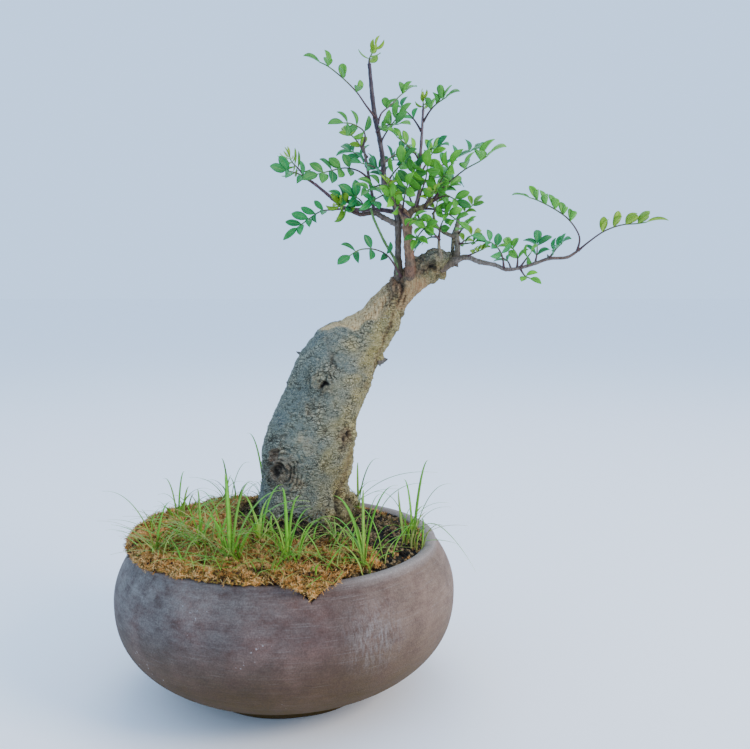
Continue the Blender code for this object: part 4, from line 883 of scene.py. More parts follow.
def scar_marks(place, scars):
    """Return the lift and the dark, rusty and pale shares that scars give a point."""
    lift = dark = rusty = pale = 0.0
    broken = 1.0 + 0.25 * noise.noise(place / 1.5) + 0.40 * noise.noise(place / 4.0)
    turning = 7.0 * noise.noise(place / 9.0) + 1.8 * noise.noise(place / 3.0)
    fading = 0.15 + 1.0 * ease(-0.30, 0.35, noise.noise(place / 6.0 + UP))
    for centre, (radius, dome, rim, hollow, ripples, darkness, rust, paleness) in scars:
        distance = (place - centre).length
        if distance > 1.9 * radius:
            continue
        share = distance / radius * broken
        edge = math.exp(-((share - 1.0) / 0.24) ** 2)
        inner = 1.0 - ease(0.35, 0.95, share)
        outer = 1.0 - ease(0.8, 1.6, distance / radius)
        drawn = (distance - 0.16 * abs(place.z - centre.z)) * 2 * math.pi / RIPPLE_GAP
        wave = math.sin(drawn + turning) * fading * outer * ripples
        lift += dome * (1.0 - ease(0.0, 1.25, share)) + rim * edge - hollow * inner + 0.9 * wave
        dark += darkness * inner + 0.45 * max(0.0, -wave)
        rusty += rust * (1.0 - ease(0.4, 1.1, share))
        pale += paleness * (1.0 - ease(0.5, 1.15, share)) + 0.3 * max(0.0, wave)
    return lift, dark, rusty, pale


def crack_marks(place, cracks):
    """Return the lift and the dark and rusty shares that cracks give a point."""
    lift = dark = rusty = 0.0
    for width, depth, darkness, rust, points in cracks:
        for start, end in zip(points, points[1:]):
            run = end - start
            t = min(1.0, max(0.0, (place - start).dot(run) / run.length_squared))
            away = (place - start - run * t).length / width
            if away < 2.5:
                near = math.exp(-away * away)
                lift = min(lift, -depth * near)
                dark = max(dark, darkness * near)
                rusty = max(rusty, rust * math.exp(-away * away / 4.0))
    return lift, dark, rusty


def strayed(place):
    """Return how far noise shifts a place along each axis."""
    return Vector([noise.noise(place + UP * shift) for shift in (0.0, 31.4, -27.7)])


def bark_lift(spot, bare, burl):
    """Return the height of the bark's lumps, wrinkles and grit at a spot of the unrolled trunk."""
    lumps = 1.6 * noise.noise(spot / 19.0) + 1.0 * noise.noise(spot / 8.0)
    crags = burl * (1.8 * abs(noise.noise(spot / 6.5)) - 1.6 * abs(noise.noise(spot / 3.4 + UP)))
    round_way = Vector((spot.x / 7.0, spot.y / 7.0, (spot.z - 0.35 * spot.x) / 2.6))
    wrinkle = 0.45 - 1.3 * abs(noise.noise(round_way + 0.4 * UP * noise.noise(spot / 5.0)))
    grit = 0.30 * noise.noise(spot / 1.3) + 0.22 * noise.noise(spot / 2.4)
    furrow = Vector((spot.x / 1.7, spot.y / 1.7, spot.z / 12.0))
    fibre = 0.80 * noise.noise(furrow) + 0.25 * noise.noise(spot / 4.0)
    patchy = 0.55 + 1.2 * ease(-0.25, 0.35, noise.noise(spot / 11.0 - UP)) + 0.4 * ease(8.0, -16.0, spot.x)
    rough = (0.85 * wrinkle * patchy + 1.4 * grit) * (1.0 - bare)
    return lumps * (1.0 - 0.4 * bare) + crags + rough + (fibre - 0.8) * bare


def make_trunk(finish):
    """Make the trunk with the old arm at its top: bark, bare wood, burrs, scars and cracks."""
    scars = [(wood_at(where), row) for where, *row in SCARS]
    cracks = [(*row, [wood_at(where) for where in way]) for *row, way in CRACKS]
    balls = [(seen(x, z, depth), radius) for x, z, depth, radius in KNOTS]
    fork_foot = on_wood(*CRAGGY_AT)
    skin = Skin("bare", "dark", "rusty", "pale", "painted_light", "burl", "mossy")
    loops = []
    for place, along, radius, lobed, way in trunk_rings():
        side = Vector((0.0, 1.0, 0.0)).cross(along).normalized()
        back = along.cross(side) * TRUNK_DEEP ** (1.0 - lobed)
        burl = ease(185.0, 215.0, way)
        near_balls = [ball for ball in balls if (ball[0] - place).length < radius + 16.0]
        near_scars = [scar for scar in scars if (scar[0] - place).length < radius + 22.0]
        loop, marks = [], [[] for mark in skin.marks]
        for j in range(TRUNK_SIDES):
            angle = 2 * math.pi * j / TRUNK_SIDES
            own = radius * (1.0 + TRUNK_WAVE * math.sin(3 * angle + place.z / 17.0))
            foot = base_radius(angle) * radius / (BASE_RADIUS + 1.6)
            out = side * math.cos(angle) + back * math.sin(angle)
            reach = bulged(place, out, own + (foot - own) * lobed, near_balls)
            spot = place + out * reach
            within = inside_by(*lined_up(spot), BARE_WOOD) + 1.2 * noise.noise(spot / 3.5)
            within += 16.0 * ease(0.0, 0.6, out.y) * noise.noise(spot / 15.0)
            peeled = ease(-1.5, 1.5, inside_by(*lined_up(spot), PEELED) + 1.6 * noise.noise(spot / 4.0))
            bare = max(ease(-1.0, 1.0, within), 0.6 * peeled)
            rugged = burl * (1.0 - 0.85 * peeled)
            lip = math.exp(-((within + 0.8) / 1.2) ** 2)
            flat = Vector((radius * math.cos(angle), radius * math.sin(angle), way))
            lift = bark_lift(flat, bare, rugged)
            wandering = spot + 2.0 * strayed(spot / 5.0) + 1.1 * strayed(spot / 1.8)
            scar, dark, rusty, pale = scar_marks(spot, near_scars)
            crack, deep, red = crack_marks(wandering, cracks)
            pale += 0.35 * lip
            spot += out * (lift + scar + crack + 0.8 * lip)
            loop.append(spot)
            # Painted light: the share of the bark painted sunlit, on the right side where the key light
            # falls, and more towards the top
            upper = 0.9 * ease(212.0, 258.0, spot.z)
            painted_light = ease(-0.35, 0.85, math.cos(angle - 0.35) + 0.55 * noise.noise(flat / 10.0) + upper)
            near_fork = 1.0 - ease(7.0, 20.0, (spot - fork_foot).length)
            crag = rugged * (0.42 + 0.5 * noise.noise(spot / 9.0) + 0.5 * near_fork)
            red += 0.7 * peeled
            mossy = (1.0 - ease(110.0, 124.0, spot.z + 14.0 * noise.noise(spot / 9.0))) * (spot.z > 105.0)
            for mark, value in zip(marks, (bare, dark + deep, rusty + red, pale, painted_light, crag, mossy)):
                mark.append(min(1.0, value))
        loops.append(skin.row(loop, *marks))
    skin.tube(loops)
    return add_piece("trunk", skin.mesh("trunk"), finish, ["wood"])


def round_rings(samples, sides, rough=0.0):
    """Return the middle and the points of a ring round each sample of (x, y, z, radius)."""
    rings = []
    last = len(samples) - 1
    for i, (*here, radius) in enumerate(samples):
        here = Vector(here)
        along = Vector(samples[min(last, i + 1)][:3]) - Vector(samples[max(0, i - 1)][:3])
        along.normalize()
        side = along.orthogonal() if i == 0 else side - along * side.dot(along)
        side.normalize()
        back = along.cross(side)
        ring = []
        for j in range(sides):
            angle = 2 * math.pi * j / sides
            out = (side * math.cos(angle) + back * math.sin(angle)) * radius
            ring.append(here + out * (1.0 + rough * noise.noise((here + out) / 1.6)))
        rings.append((here, ring))
    return rings


def blended(first, second, share):
    """Return a colour between two others."""
    return tuple(a + (b - a) * share for a, b in zip(first, second))


def grow_tube(skin, samples, sides, colours, rough):
    """Add a round tube, coloured from end to end and open at its tip, and return its last ring."""
    rings = []
    for i, (here, ring) in enumerate(round_rings(samples, sides, rough)):
        way = i / (len(samples) - 1)
        hue = blended(*colours, ease(0.0, 1.0, way + 0.45 * noise.noise(here / 5.0)))
        if samples[0][3] > THICK_FOOT:
            rooted = 1.0 - ease(0.10, 0.36, way + 0.2 * noise.noise(here / 4.0))
            hue = blended(hue, colour(FOOT_COLOUR), rooted)
        rings.append(skin.row(ring, hue))
    for low, high in zip(rings, rings[1:]):
        skin.bridge(low, high)
    skin.lid(rings[0])
    return rings[-1]


def cut_end(skin, ring, colours):
    """Close a tube as a sawn stub: a pale ring of wood round a dark, sunken pith."""
    places = [skin.points[i] for i in ring]
    middle = sum(places, Vector()) / len(places)
    inward = (Vector(skin.points[ring[0] - len(ring)]) - places[0]).normalized()
    for share, sink, hue in ((0.72, 0.0, colours[1]), (0.5, 0.9, colour(PITH_COLOUR))):
        inner = [middle.lerp(place, share) + inward * sink for place in places]
        new = skin.row(inner, hue)
        skin.bridge(ring, new)
        ring = new
    skin.lid(ring)


def branch_samples(route):
    """Return a branch's fine samples, with a slight knob at every joint of its route."""
    placed = [(*seen(x, z, depth), radius) for x, z, depth, radius in route]
    result = []
    for i, (*place, radius) in enumerate(smoothed(placed, BRANCH_SPAN_STEPS)):
        beat = abs((i / (BRANCH_SPAN_STEPS + 1) + 0.5) % 1.0 - 0.5)
        knob = 1.0 + 0.16 * math.exp(-(beat / 0.09) ** 2)
        result.append((*place, radius * knob))
    return result


def make_twigs(finish):
    """Make every branch and shoot above the trunk, and the thorn stubs."""
    skin = Skin("hue")
    thorny = [colour(code) for code in THORN_COLOURS]
    for name, lower, upper, route in BRANCHES:
        colours = [colour(lower), colour(upper)]
        sides = THICK_SIDES if route[0][3] > THICK_FOOT else THIN_SIDES
        end = grow_tube(skin, branch_samples(route), sides, colours, BRANCH_LUMPS)
        if name in SAWN:
            cut_end(skin, end, colours)
        else:
            skin.lid(end)
    for root, tip, radius in THORNS:
        foot, point = seen(*root), seen(*tip)
        samples = smoothed([(*foot, radius), (*foot.lerp(point, THORN_LENGTH), THORN_TIP)], 8)
        skin.lid(grow_tube(skin, samples, THORN_SIDES, thorny, THORN_LUMPS))
    add_piece("twigs", skin.mesh("twigs"), finish, ["wood"])


def seat_on_wood(first, second):
    """Return where a stalk starts, just off the wood."""
    inward = (first - second).normalized()
    farthest = (first - second).length + SEAT_REACH
    hit, normal, _, distance = WOOD_TREE.ray_cast(second * MM, inward)
    if hit is None or distance > farthest * MM:
        hit, normal = WOOD_TREE.find_nearest(first * MM)[:2]
    if normal.dot(second * MM - hit) < 0.0:
        normal = -inward
    return hit / MM + normal * HOLE_GAP


def leaf_route(row):
    """Return a leaf's stalk, swung as its CAD node is, and the line of sight to it."""
    name, stalk, near, far = row[:4]
    last = len(stalk) - 1
    route = [seen(x, z, near + (far - near) * i / last) for i, (x, z) in enumerate(stalk)]
    start = seat_on_wood(route[0], route[1])
    route[0] = start - (route[1] - start).normalized() * (HOLE_GAP + 0.9)
    sight = (VIEW_POINT - start).normalized()
    if name.startswith("extra"):
        return route, sight
    axis = sight.cross(route[-1] - start).normalized()
    solid = merged_tree(name)
    best = None
    for swing in SWINGS:
        turn = Matrix.Rotation(math.radians(swing), 3, axis)
        tip = start + turn @ (route[-1] - start)
        away = solid.find_nearest(tip * MM)[3]
        if best is None or away < best[0]:
            best = (away, turn)
    return [start + best[1] @ (place - start) for place in route], sight


def point_on(route, distance):
    """Return the place and the direction at a distance along a route."""
    for start, end in zip(route, route[1:]):
        length = (end - start).length
        if distance <= length:
            return start.lerp(end, distance / length), (end - start).normalized()
        distance -= length
    return route[-1], (route[-1] - route[-2]).normalized()


def grow_leaflet(skin, base, along, across, face, length, width, luck, tone):
    """Add one thin leaflet: an arched blade with a trough along its midrib."""
    length *= LENGTHENED
    width *= WIDENED
    twist = Matrix.Rotation(luck.uniform(*LEAFLET_TWIST), 3, along)
    across, face = twist @ across, twist @ face
    fold = math.radians(luck.uniform(*LEAFLET_FOLD))
    curl = luck.uniform(*LEAFLET_CURL)
    bend = luck.uniform(*LEAFLET_BEND)
    rings = []
    for run, half, rise in BLADE_ROWS:
        middle = base + along * run * length + face * (rise - curl * run * run) * length
        middle += across * bend * run * run * width
        ring = []
        for share in LEAFLET_SIDES:
            under = LEAFLET_UNDER[len(ring)]
            up = abs(share) * half * width * math.sin(fold)
            aside = share * half * width * math.cos(fold)
            skin_off = -BLADE / 2 if under else BLADE / 2 * (abs(share) < 1.0)
            trough = BLADE_TROUGH if share == 0.0 else 0.0
            ring.append(middle + across * aside + face * (up + skin_off - trough))
        rings.append(skin.row(ring, LEAFLET_SIDES, run, tone, LEAFLET_UNDER, 0.0))
    skin.tube(rings)


def grow_stalk(skin, route, tone):
    """Add the round stalk of a leaf, thicker where it leaves the wood."""
    last = len(route) - 1
    thick, thin = STALK_RADII
    samples = [(*place, (thick + (thin - thick) * i / last) * (1.0 + 0.8 * math.exp(-i / 2.0)))
               for i, place in enumerate(route)]
    skin.tube([skin.row(ring, 1.0, i / last, tone, 0.0, 1.0)
               for i, (here, ring) in enumerate(round_rings(samples, STALK_SIDES))])


def squared(toward, tangent, before=None):
    """Return what is square to a stalk and faces a way, on the same side as the one before."""
    normal = (toward - tangent * toward.dot(tangent)).normalized()
    return -normal if before and normal.dot(before) < 0.0 else normal


def grow_leaf(skin, row):
    """Add one pinnate leaf: its stalk, its pairs of leaflets and the one at its end."""
    name = row[0]
    pairs, length, width, roll, fold = row[4:]
    luck = random.Random(name)
    coarse, sight = leaf_route(row)
    route = [Vector(place) for place in smoothed(coarse, 4)]
    hue = HUES.get(name, luck.random())
    grow_stalk(skin, route, hue)
    total = sum((b - a).length for a, b in zip(route, route[1:]))
    if name in TUFTS:
        grow_tuft(skin, route, total, length, width, luck, *TUFTS[name])
        return
    toward = UP * math.cos(math.radians(roll)) + sight * math.sin(math.radians(roll))
    shares = [SINGLE_PAIR]
    if pairs > 1:
        shares = [FIRST_PAIR + (LAST_PAIR - FIRST_PAIR) * i / (pairs - 1) for i in range(pairs)]
    normal = None
    for number, share in enumerate(shares, 1):
        place, tangent = point_on(route, share * total)
        normal = squared(toward, tangent, normal)
        side = normal.cross(tangent)
        size = 1.0 - PAIR_SHRINKING * abs(number - 1 - pairs * 0.5)
        tilt = math.radians(fold)
        spread = math.radians(PAIR_ANGLE - PAIR_CLOSING * number + luck.uniform(-7, 7))
        for hand in (-1.0, 1.0):
            outward = side * hand * math.cos(tilt) + normal * math.sin(tilt)
            along = (tangent * math.cos(spread) + outward * math.sin(spread)).normalized()
            across = (tangent - along * tangent.dot(along)).normalized()
            face = across.cross(along)
            if face.dot(normal) < 0.0:
                face = -face
            tone = 0.55 * hue + 0.45 * luck.random()
            grow_leaflet(skin, place + side * hand * 0.3, along, across, face, tone=tone, luck=luck,
                         length=length * size * luck.uniform(0.84, 1.08),
                         width=width * size * luck.uniform(0.92, 1.08))
    place, tangent = point_on(route, total)
    normal = squared(toward, tangent, normal)
    grow_leaflet(skin, place - tangent * 0.5, tangent, normal.cross(tangent), normal,
                 length * END_LEAFLET, width, luck, 0.55 * hue + 0.45 * luck.random())


def grow_tuft(skin, route, total, length, width, luck, count, widest, slimmer, longer, scale):
    """Add the unfolding leaflets of a tuft: they stand round its stem, the upper ones closest."""
    for i in range(count):
        share = i / (count - 1)
        place, tangent = point_on(route, (0.2 + 0.8 * share ** 0.8) * total)
        place = place + tangent * longer * share
        turn = Matrix.Rotation(math.radians(TUFT_TURN * i + luck.uniform(-12, 12)), 3, tangent)
        out = turn @ tangent.orthogonal().normalized()
        opened = math.radians(widest * (1.0 - 0.75 * share) + luck.uniform(-5, 5))
        along = (tangent * math.cos(opened) + out * math.sin(opened)).normalized()
        across = along.cross(out).normalized()
        size = scale * (1.12 - 0.22 * share) * luck.uniform(0.92, 1.06)
        grow_leaflet(skin, place, along, across, across.cross(along), length * size,
                     width * size * slimmer, luck, min(1.0, share + 0.2 * luck.random()))


def make_leaves(kind, finish):
    """Make all leaves of one kind as one piece."""
    skin = Skin("across", "along", "tone", "under", "stalk")
    for row in LEAVES[kind]:
        grow_leaf(skin, row)
    name = "leaves_" + kind
    solids = [row[0] for row in LEAVES[kind] if not row[0].startswith("extra")]
    add_piece(name, skin.mesh(name), finish, solids)


def blade_spot(outward, reach, height, t):
    """Return where a blade's middle lies at a share of its length: a hanging one rises first."""
    lean = BLADE_START + (reach - BLADE_START) * t ** BLADE_LEAN
    if height > 0.0:
        rise = height * math.sin(t * math.pi / 2 * 1.1)
    else:
        rise = HANGING_RISE * math.sin(min(1.0, t * 1.7) * math.pi / 2)
        rise += (height - HANGING_RISE) * t ** 3
    return outward * lean + UP * rise


def grow_blade(skin, ground, start, blade, tone, sweep=0.0):
    """Add one blade of grass from the ground up: a shallow trough that narrows to its tip.

    The sweep is how far the tip bends aside.
    """
    heading, reach, height, width = blade
    outward = heading_vector(heading)
    across = UP.cross(outward)
    path = [ground + (start - ground) * share for share in (0.0, 0.5)]
    for i in range(GRASS_ROWS + 1):
        t = i / GRASS_ROWS
        path.append(start + blade_spot(outward, reach, height, t) + across * sweep * t ** 2)
    rings = []
    last = len(path) - 1
    for i, here in enumerate(path):
        share = i / last
        run = path[min(last, i + 1)] - path[max(0, i - 1)]
        keel = across.cross(run).normalized()
        half = 0.5 * width * (0.55 + 0.45 * ease(0.0, 0.3, share)) * (1.0 - share ** 2.2) + 0.05
        edges = [here + across * out + keel * 0.1 - keel * 0.18 * half for out in (-half, half)]
        ring = [edges[0], here + keel * 0.28 * half * 0.6, edges[1], here + keel * (0.12 + 0.28 * half)]
        rings.append(skin.row(ring, share, tone))
    skin.tube(rings)


def make_grass(finish):
    """Make the tufts of grass: the broad blades of each, and finer ones between them."""
    skin = Skin("along", "tone")
    luck = random.Random(SEED)
    for name, x, y, blades in GRASS:
        ground = Vector((x, y, soil_height(x, y) - ROOT_DEPTH))
        start = Vector((x, y, soil_height(x, y) + TUFT_ABOVE_SOIL - BLADE_ROOT))
        for blade in blades:
            foot = heading_vector(blade[0]) * 0.9
            grow_blade(skin, ground + foot, start + foot * 0.3, blade, luck.uniform(0.0, 0.35),
                       luck.uniform(-4, 4))
        for i in range(FEWER_BLADES.get(name, FINE_BLADES)):
            heading = luck.uniform(0, 360)
            foot = heading_vector(luck.uniform(0, 360)) * luck.uniform(0.8, 8.0)
            blade = (heading, luck.uniform(8, 38), luck.uniform(4, 24), luck.uniform(0.8, 2.0))
            dry = luck.choice((0.1, 0.2, 0.3, 0.5, 1.0))
            grow_blade(skin, ground + foot, start + foot - UP * luck.uniform(2, 6), blade, dry,
                       luck.uniform(-14, 14))
    for x, y, *blade in LEANING_BLADES:
        ground = Vector((x, y, soil_height(x, y) - ROOT_DEPTH))
        grow_blade(skin, ground, ground + UP * 8.0, blade, luck.uniform(0.0, 0.2), luck.uniform(-8, 8))
    for i in range(SPROUTS):
        heading = luck.choice((luck.uniform(165, 320), luck.uniform(200, 300), luck.uniform(60, 330)))
        distance = luck.uniform(50, 99 if 170 < heading < 300 else 88)
        spot = heading_vector(heading) * distance
        spot.z = soil_height(spot.x, spot.y) if distance < 90 else moss_floor(spot) + 2.4
        blade = (luck.uniform(0, 360), luck.uniform(8, 36), luck.uniform(2, 16), luck.uniform(0.5, 1.5))
        grow_blade(skin, spot - UP * 2.0, spot + UP * 3.0, blade, luck.choice((0.0, 0.2, 0.5, 0.8, 1.0)),
                   luck.uniform(-12, 12))
    add_piece("grass", skin.mesh("grass"), finish, [row[0] for row in GRASS])


def spiky_sprig():
    """Return one sprig of moss: five three-sided spikes that spread from one foot."""
    skin = Skin()
    for i in range(5):
        out = heading_vector(72.0 * i + 20.0)
        lean = 0.25 + 0.5 * (i % 3)
        tip = out * lean * 1.2 + UP * (1.9 - 0.35 * lean)
        foot = [heading_vector(120.0 * j + 40.0 * i) * 0.15 + out * 0.12 for j in range(3)]
        ring = skin.row(foot + [tip])
        for a, b, c in ((0, 1, 3), (1, 2, 3), (2, 0, 3), (0, 2, 1)):
            skin.faces.append((ring[a], ring[b], ring[c]))
    return skin.mesh("sprig")


def crumb():
    """Return one crumb of soil, uneven and about a millimetre across."""
    shape = bmesh.new()
    bmesh.ops.create_icosphere(shape, subdivisions=1, radius=0.6 * MM)
    for vertex in shape.verts:
        vertex.co *= 1.0 + 0.35 * noise.noise(vertex.co * 2300.0)
    made = bpy.data.meshes.new("crumb")
    shape.to_mesh(made)
    shape.free()
    return made


def straw():
    """Return one bent piece of dry stem, about seven millimetres long."""
    skin = Skin()
    rings = []
    for i in range(4):
        place = Vector((2.4 * i - 3.6, 0.5 * math.sin(i * 1.7), 0.3 + 0.35 * math.sin(i * 1.1)))
        ring = [place + Vector((0, 0.22 * math.cos(a), 0.16 * math.sin(a)))
                for a in (0.0, math.pi / 2, math.pi, 1.5 * math.pi)]
        rings.append(skin.row(ring))
    skin.tube(rings)
    return skin.mesh("straw")


def fill(made, inputs):
    """Give a node's inputs their values and links; None leaves an input as it is."""
    for key, value in inputs.items():
        socket = made.inputs[key]
        if isinstance(value, bpy.types.NodeSocket):
            made.id_data.links.new(value, socket)
        elif value is not None:
            written = isinstance(value, str) and socket.type == "RGBA"
            socket.default_value = colour(value) if written else value


def add_node(tree, kind, *values, stops=(), **named):
    """Add a node and return its outputs.

    The values go to its inputs in order. A name with a capital is an input's, and any other
    name is a setting's. Stops are those of a ramp. A kind without Node is a shader node.
    """
    made = tree.nodes.new(kind if "Node" in kind else "ShaderNode" + kind)
    inputs = dict(enumerate(values))
    for name, value in named.items():
        if name[0].isupper():
            inputs[name] = value
        else:
            setattr(made, name, value)
    fill(made, inputs)
    for i, (position, code) in enumerate(stops):
        ramp = made.color_ramp.elements
        stop = ramp[i] if i < 2 else ramp.new(position)
        stop.position = position
        stop.color = colour(code)
    return made.outputs


def scatter_tree():
    """Build the tree that strews a shape over a surface, as thick as a named mark says."""
    tree = bpy.data.node_groups.new("strewn", "GeometryNodeTree")
    sockets = {"Surface": "Geometry", "Shape": "Object", "Mark": "String",
               "Per square metre": "Float", "Smallest": "Float", "Largest": "Float",
               "Lean": "Float", "Finish": "Material"}
    for name, kind in sockets.items():
        tree.interface.new_socket(name, in_out="INPUT", socket_type="NodeSocket" + kind)
    tree.interface.new_socket("Strewn", in_out="OUTPUT", socket_type="NodeSocketGeometry")
    node = partial(add_node, tree)
    given = node("NodeGroupInput")
    mark = node("GeometryNodeInputNamedAttribute", Name=given["Mark"], data_type="FLOAT")["Attribute"]
    density = node("Math", given["Per square metre"], mark, operation="MULTIPLY")[0]
    points = node("GeometryNodeDistributePointsOnFaces", Mesh=given["Surface"], Density=density, Seed=SEED)
    shape = node("GeometryNodeObjectInfo", Object=given["Shape"])["Geometry"]
    size = node("FunctionNodeRandomValue", None, None, given["Smallest"], given["Largest"],
                Seed=2, data_type="FLOAT")[1]
    back = node("Math", given["Lean"], -1.0, operation="MULTIPLY")[0]
    low = node("CombineXYZ", back, back, 0.0)[0]
    high = node("CombineXYZ", given["Lean"], given["Lean"], 2 * math.pi)[0]
    turn = node("FunctionNodeRandomValue", low, high, Seed=3, data_type="FLOAT_VECTOR")[0]
    euler = node("FunctionNodeEulerToRotation", turn)[0]
    rotation = node("FunctionNodeRotateRotation", points["Rotation"], euler, rotation_space="LOCAL")[0]
    placed = node("GeometryNodeInstanceOnPoints", Points=points["Points"], Instance=shape,
                  Rotation=rotation, Scale=size)[0]
    tone = node("FunctionNodeRandomValue", None, None, 0.0, 1.0, Seed=4, data_type="FLOAT")[1]
    toned = node("GeometryNodeStoreNamedAttribute", Geometry=placed, Name="tone", Value=tone,
                 data_type="FLOAT", domain="INSTANCE")[0]
    real = node("GeometryNodeRealizeInstances", Geometry=toned)[0]
    dressed = node("GeometryNodeSetMaterial", Geometry=real, Material=given["Finish"])[0]
    node("NodeGroupOutput", Strewn=dressed)
    return tree


def strew(name, surface, shape, finish, mark, density, smallest, largest, lean):
    """Strew a small shape over a surface and keep the result as a piece of its own."""
    tree = bpy.data.node_groups.get("strewn") or scatter_tree()
    holder = add_object("holder", surface.data)
    model = add_object("model", shape)
    strewn = holder.modifiers.new("strewn", "NODES")
    strewn.node_group = tree
    values = {"Shape": model, "Mark": mark, "Per square metre": density, "Smallest": smallest,
              "Largest": largest, "Lean": lean, "Finish": finish}
    for socket in tree.interface.items_tree:
        if socket.name in values:
            strewn[socket.identifier] = values[socket.name]
    mesh = evaluated(holder)
    for item in (holder, model):
        bpy.data.objects.remove(item, do_unlink=True)
    add_piece(name, mesh, finish)


def start_material(name, *marks):
    """Return a material, what adds its nodes, object coordinates and marks of the points."""
    made = bpy.data.materials.new(name)
    made.use_nodes = True
    node = partial(add_node, made.node_tree)
    place = node("TexCoord")["Object"]
    return (made, node, place, *(node("Attribute", attribute_name=mark)["Fac"] for mark in marks))


def dress(made, node, shade, layers, values, relief=()):
    """Lay layers over a base colour, and give the shader its values and its relief.

    A layer is its factors, whose product is its share, its colour, and its blend unless that
    is MIX. A factor is a number, an output, or an output with the range that it is mapped
    from and to. The relief is a bump's strength, distance and height.
    """
    for factors, over, *blend in layers:
        parts = [node("MapRange", *factor)[0] if isinstance(factor, tuple) else factor
                 for factor in factors]
        share = parts[0]
        for part in parts[1:]:
            share = node("Math", share, part, operation="MULTIPLY")[0]
        shade = node("Mix", share, *MIX_SKIPS, shade, over, data_type="RGBA",
                     blend_type=blend[0] if blend else "MIX")[MIX_RESULT]
    values = {**values, "Base Color": shade}
    if relief:
        values["Normal"] = node("Bump", **dict(zip(("Strength", "Distance", "Height"), relief)))[0]
    fill(made.node_tree.nodes["Principled BSDF"], values)
    return made


def clay():
    """Unglazed stoneware, thrown and weathered: matt, mauve-brown under a grey lime bloom."""
    made, node, place = start_material("unglazed stoneware")
    x, y, z = node("SeparateXYZ", place)
    # Clouds a few centimetres wide, and patches of bloom a centimetre wide
    clouds = node("TexNoise", Vector=place, Scale=grain(36), Detail=5.0, Roughness=0.6)[0]
    level = node("Mapping", Vector=place, Scale=grain(12, 12, 6))[0]
    patches = node("TexNoise", Vector=level, Scale=1.0, Detail=8.0, Roughness=0.78)[0]
    body = node("ValToRGB", clouds, stops=[(0.36, "422C26"), (0.64, "6C4F45"), (0.5, "543A32")])[0]
    bloomy = node("MapRange", patches, 0.32, 0.72)[0]
    from_scuff = node("VectorMath", place, (0.061, -0.097, 0.070), operation="DISTANCE")["Value"]
    upright = node("Mapping", Vector=place, Scale=grain(1.8, 1.8, 7))[0]
    strokes = node("TexNoise", Vector=upright, Scale=1.0, Detail=6.0, Roughness=0.75)[0]
    rubbed = node("Mapping", Vector=place, Rotation=(0.0, math.radians(8.0), 0.0),
                  Scale=grain(22, 22, 0.7))[0]
    scratches = node("TexNoise", Vector=rubbed, Scale=1.0, Detail=3.0, Roughness=0.6)[0]
    grit = node("TexNoise", Vector=place, Scale=grain(0.9), Detail=3.0)[0]
    gritty = node("ValToRGB", grit, stops=[(0.36, "9C948F"), (0.64, "FFFFFF")])[0]
    # Streaks that the throwing left, a millimetre or two high and far longer round the bowl
    rings = node("Mapping", Vector=place, Scale=(14.0, 14.0, grain(1.6)))[0]
    streaks = node("TexNoise", Vector=rings, Scale=1.0, Detail=4.0, Roughness=0.6)[0]
    streaked = node("ValToRGB", streaks, stops=[(0.30, "A89C99"), (0.72, "FFFFFF")])[0]
    specks = node("TexNoise", Vector=place, Scale=grain(2.0), Detail=2.0)[0]
    few = node("Math", specks, clouds, operation="MULTIPLY")[0]
    layers = [
        # Lime bloom lies thickest at the upper left, and wanes towards the foot and the right
        ([(z, 0.036, 0.092), (x, 0.04, -0.085, 0.20, 1.0), bloomy], "928E87"),
        # Painted light: the right side, where the key light falls, is painted lighter and tan under the
        # bloom
        ([(x, 0.03, 0.11, 0.0, 0.62), (patches, 0.34, 0.62, 0.45, 1.15)], "A0866F"),
        # Upright scuffs on the right half of the front, within three centimetres of one spot
        ([(from_scuff, 0.027, 0.006), (strokes, 0.44, 0.62, 0.0, 0.42)], "A09C98"),
        # Level scratches where the bloom was rubbed, a hair wide and drawn half a millimetre high
        ([(scratches, 0.56, 0.74, 0.0, 0.6), bloomy], "98928C"),
        # Towards its foot the bowl is painted browner and olive, in patches
        ([(z, 0.072, 0.016, 0.0, 1.9), patches], "503A08"),
        # The rim's edge is worn paler at the right
        ([(z, 0.0965, 0.1005), (x, 0.02, 0.07, 0.0, 0.6)], "A29A92"),
        # Grit a millimetre wide, and the streaks of the throwing
        ([0.45], gritty, "MULTIPLY"),
        ([0.22], streaked, "MULTIPLY"),
        # White specks of lime at the left, drawn larger than the real ones
        ([(few, 0.405, 0.43, 0.0, 0.7), (x, 0.012, -0.004)], "9C9896"),
    ]
    relief = node("Math", grit, streaks, operation="ADD")[0]
    return dress(made, node, body, layers, {"Roughness": 0.8, "IOR": 1.5, "Specular IOR Level": 0.35},
                 (0.35, 0.0006, relief))


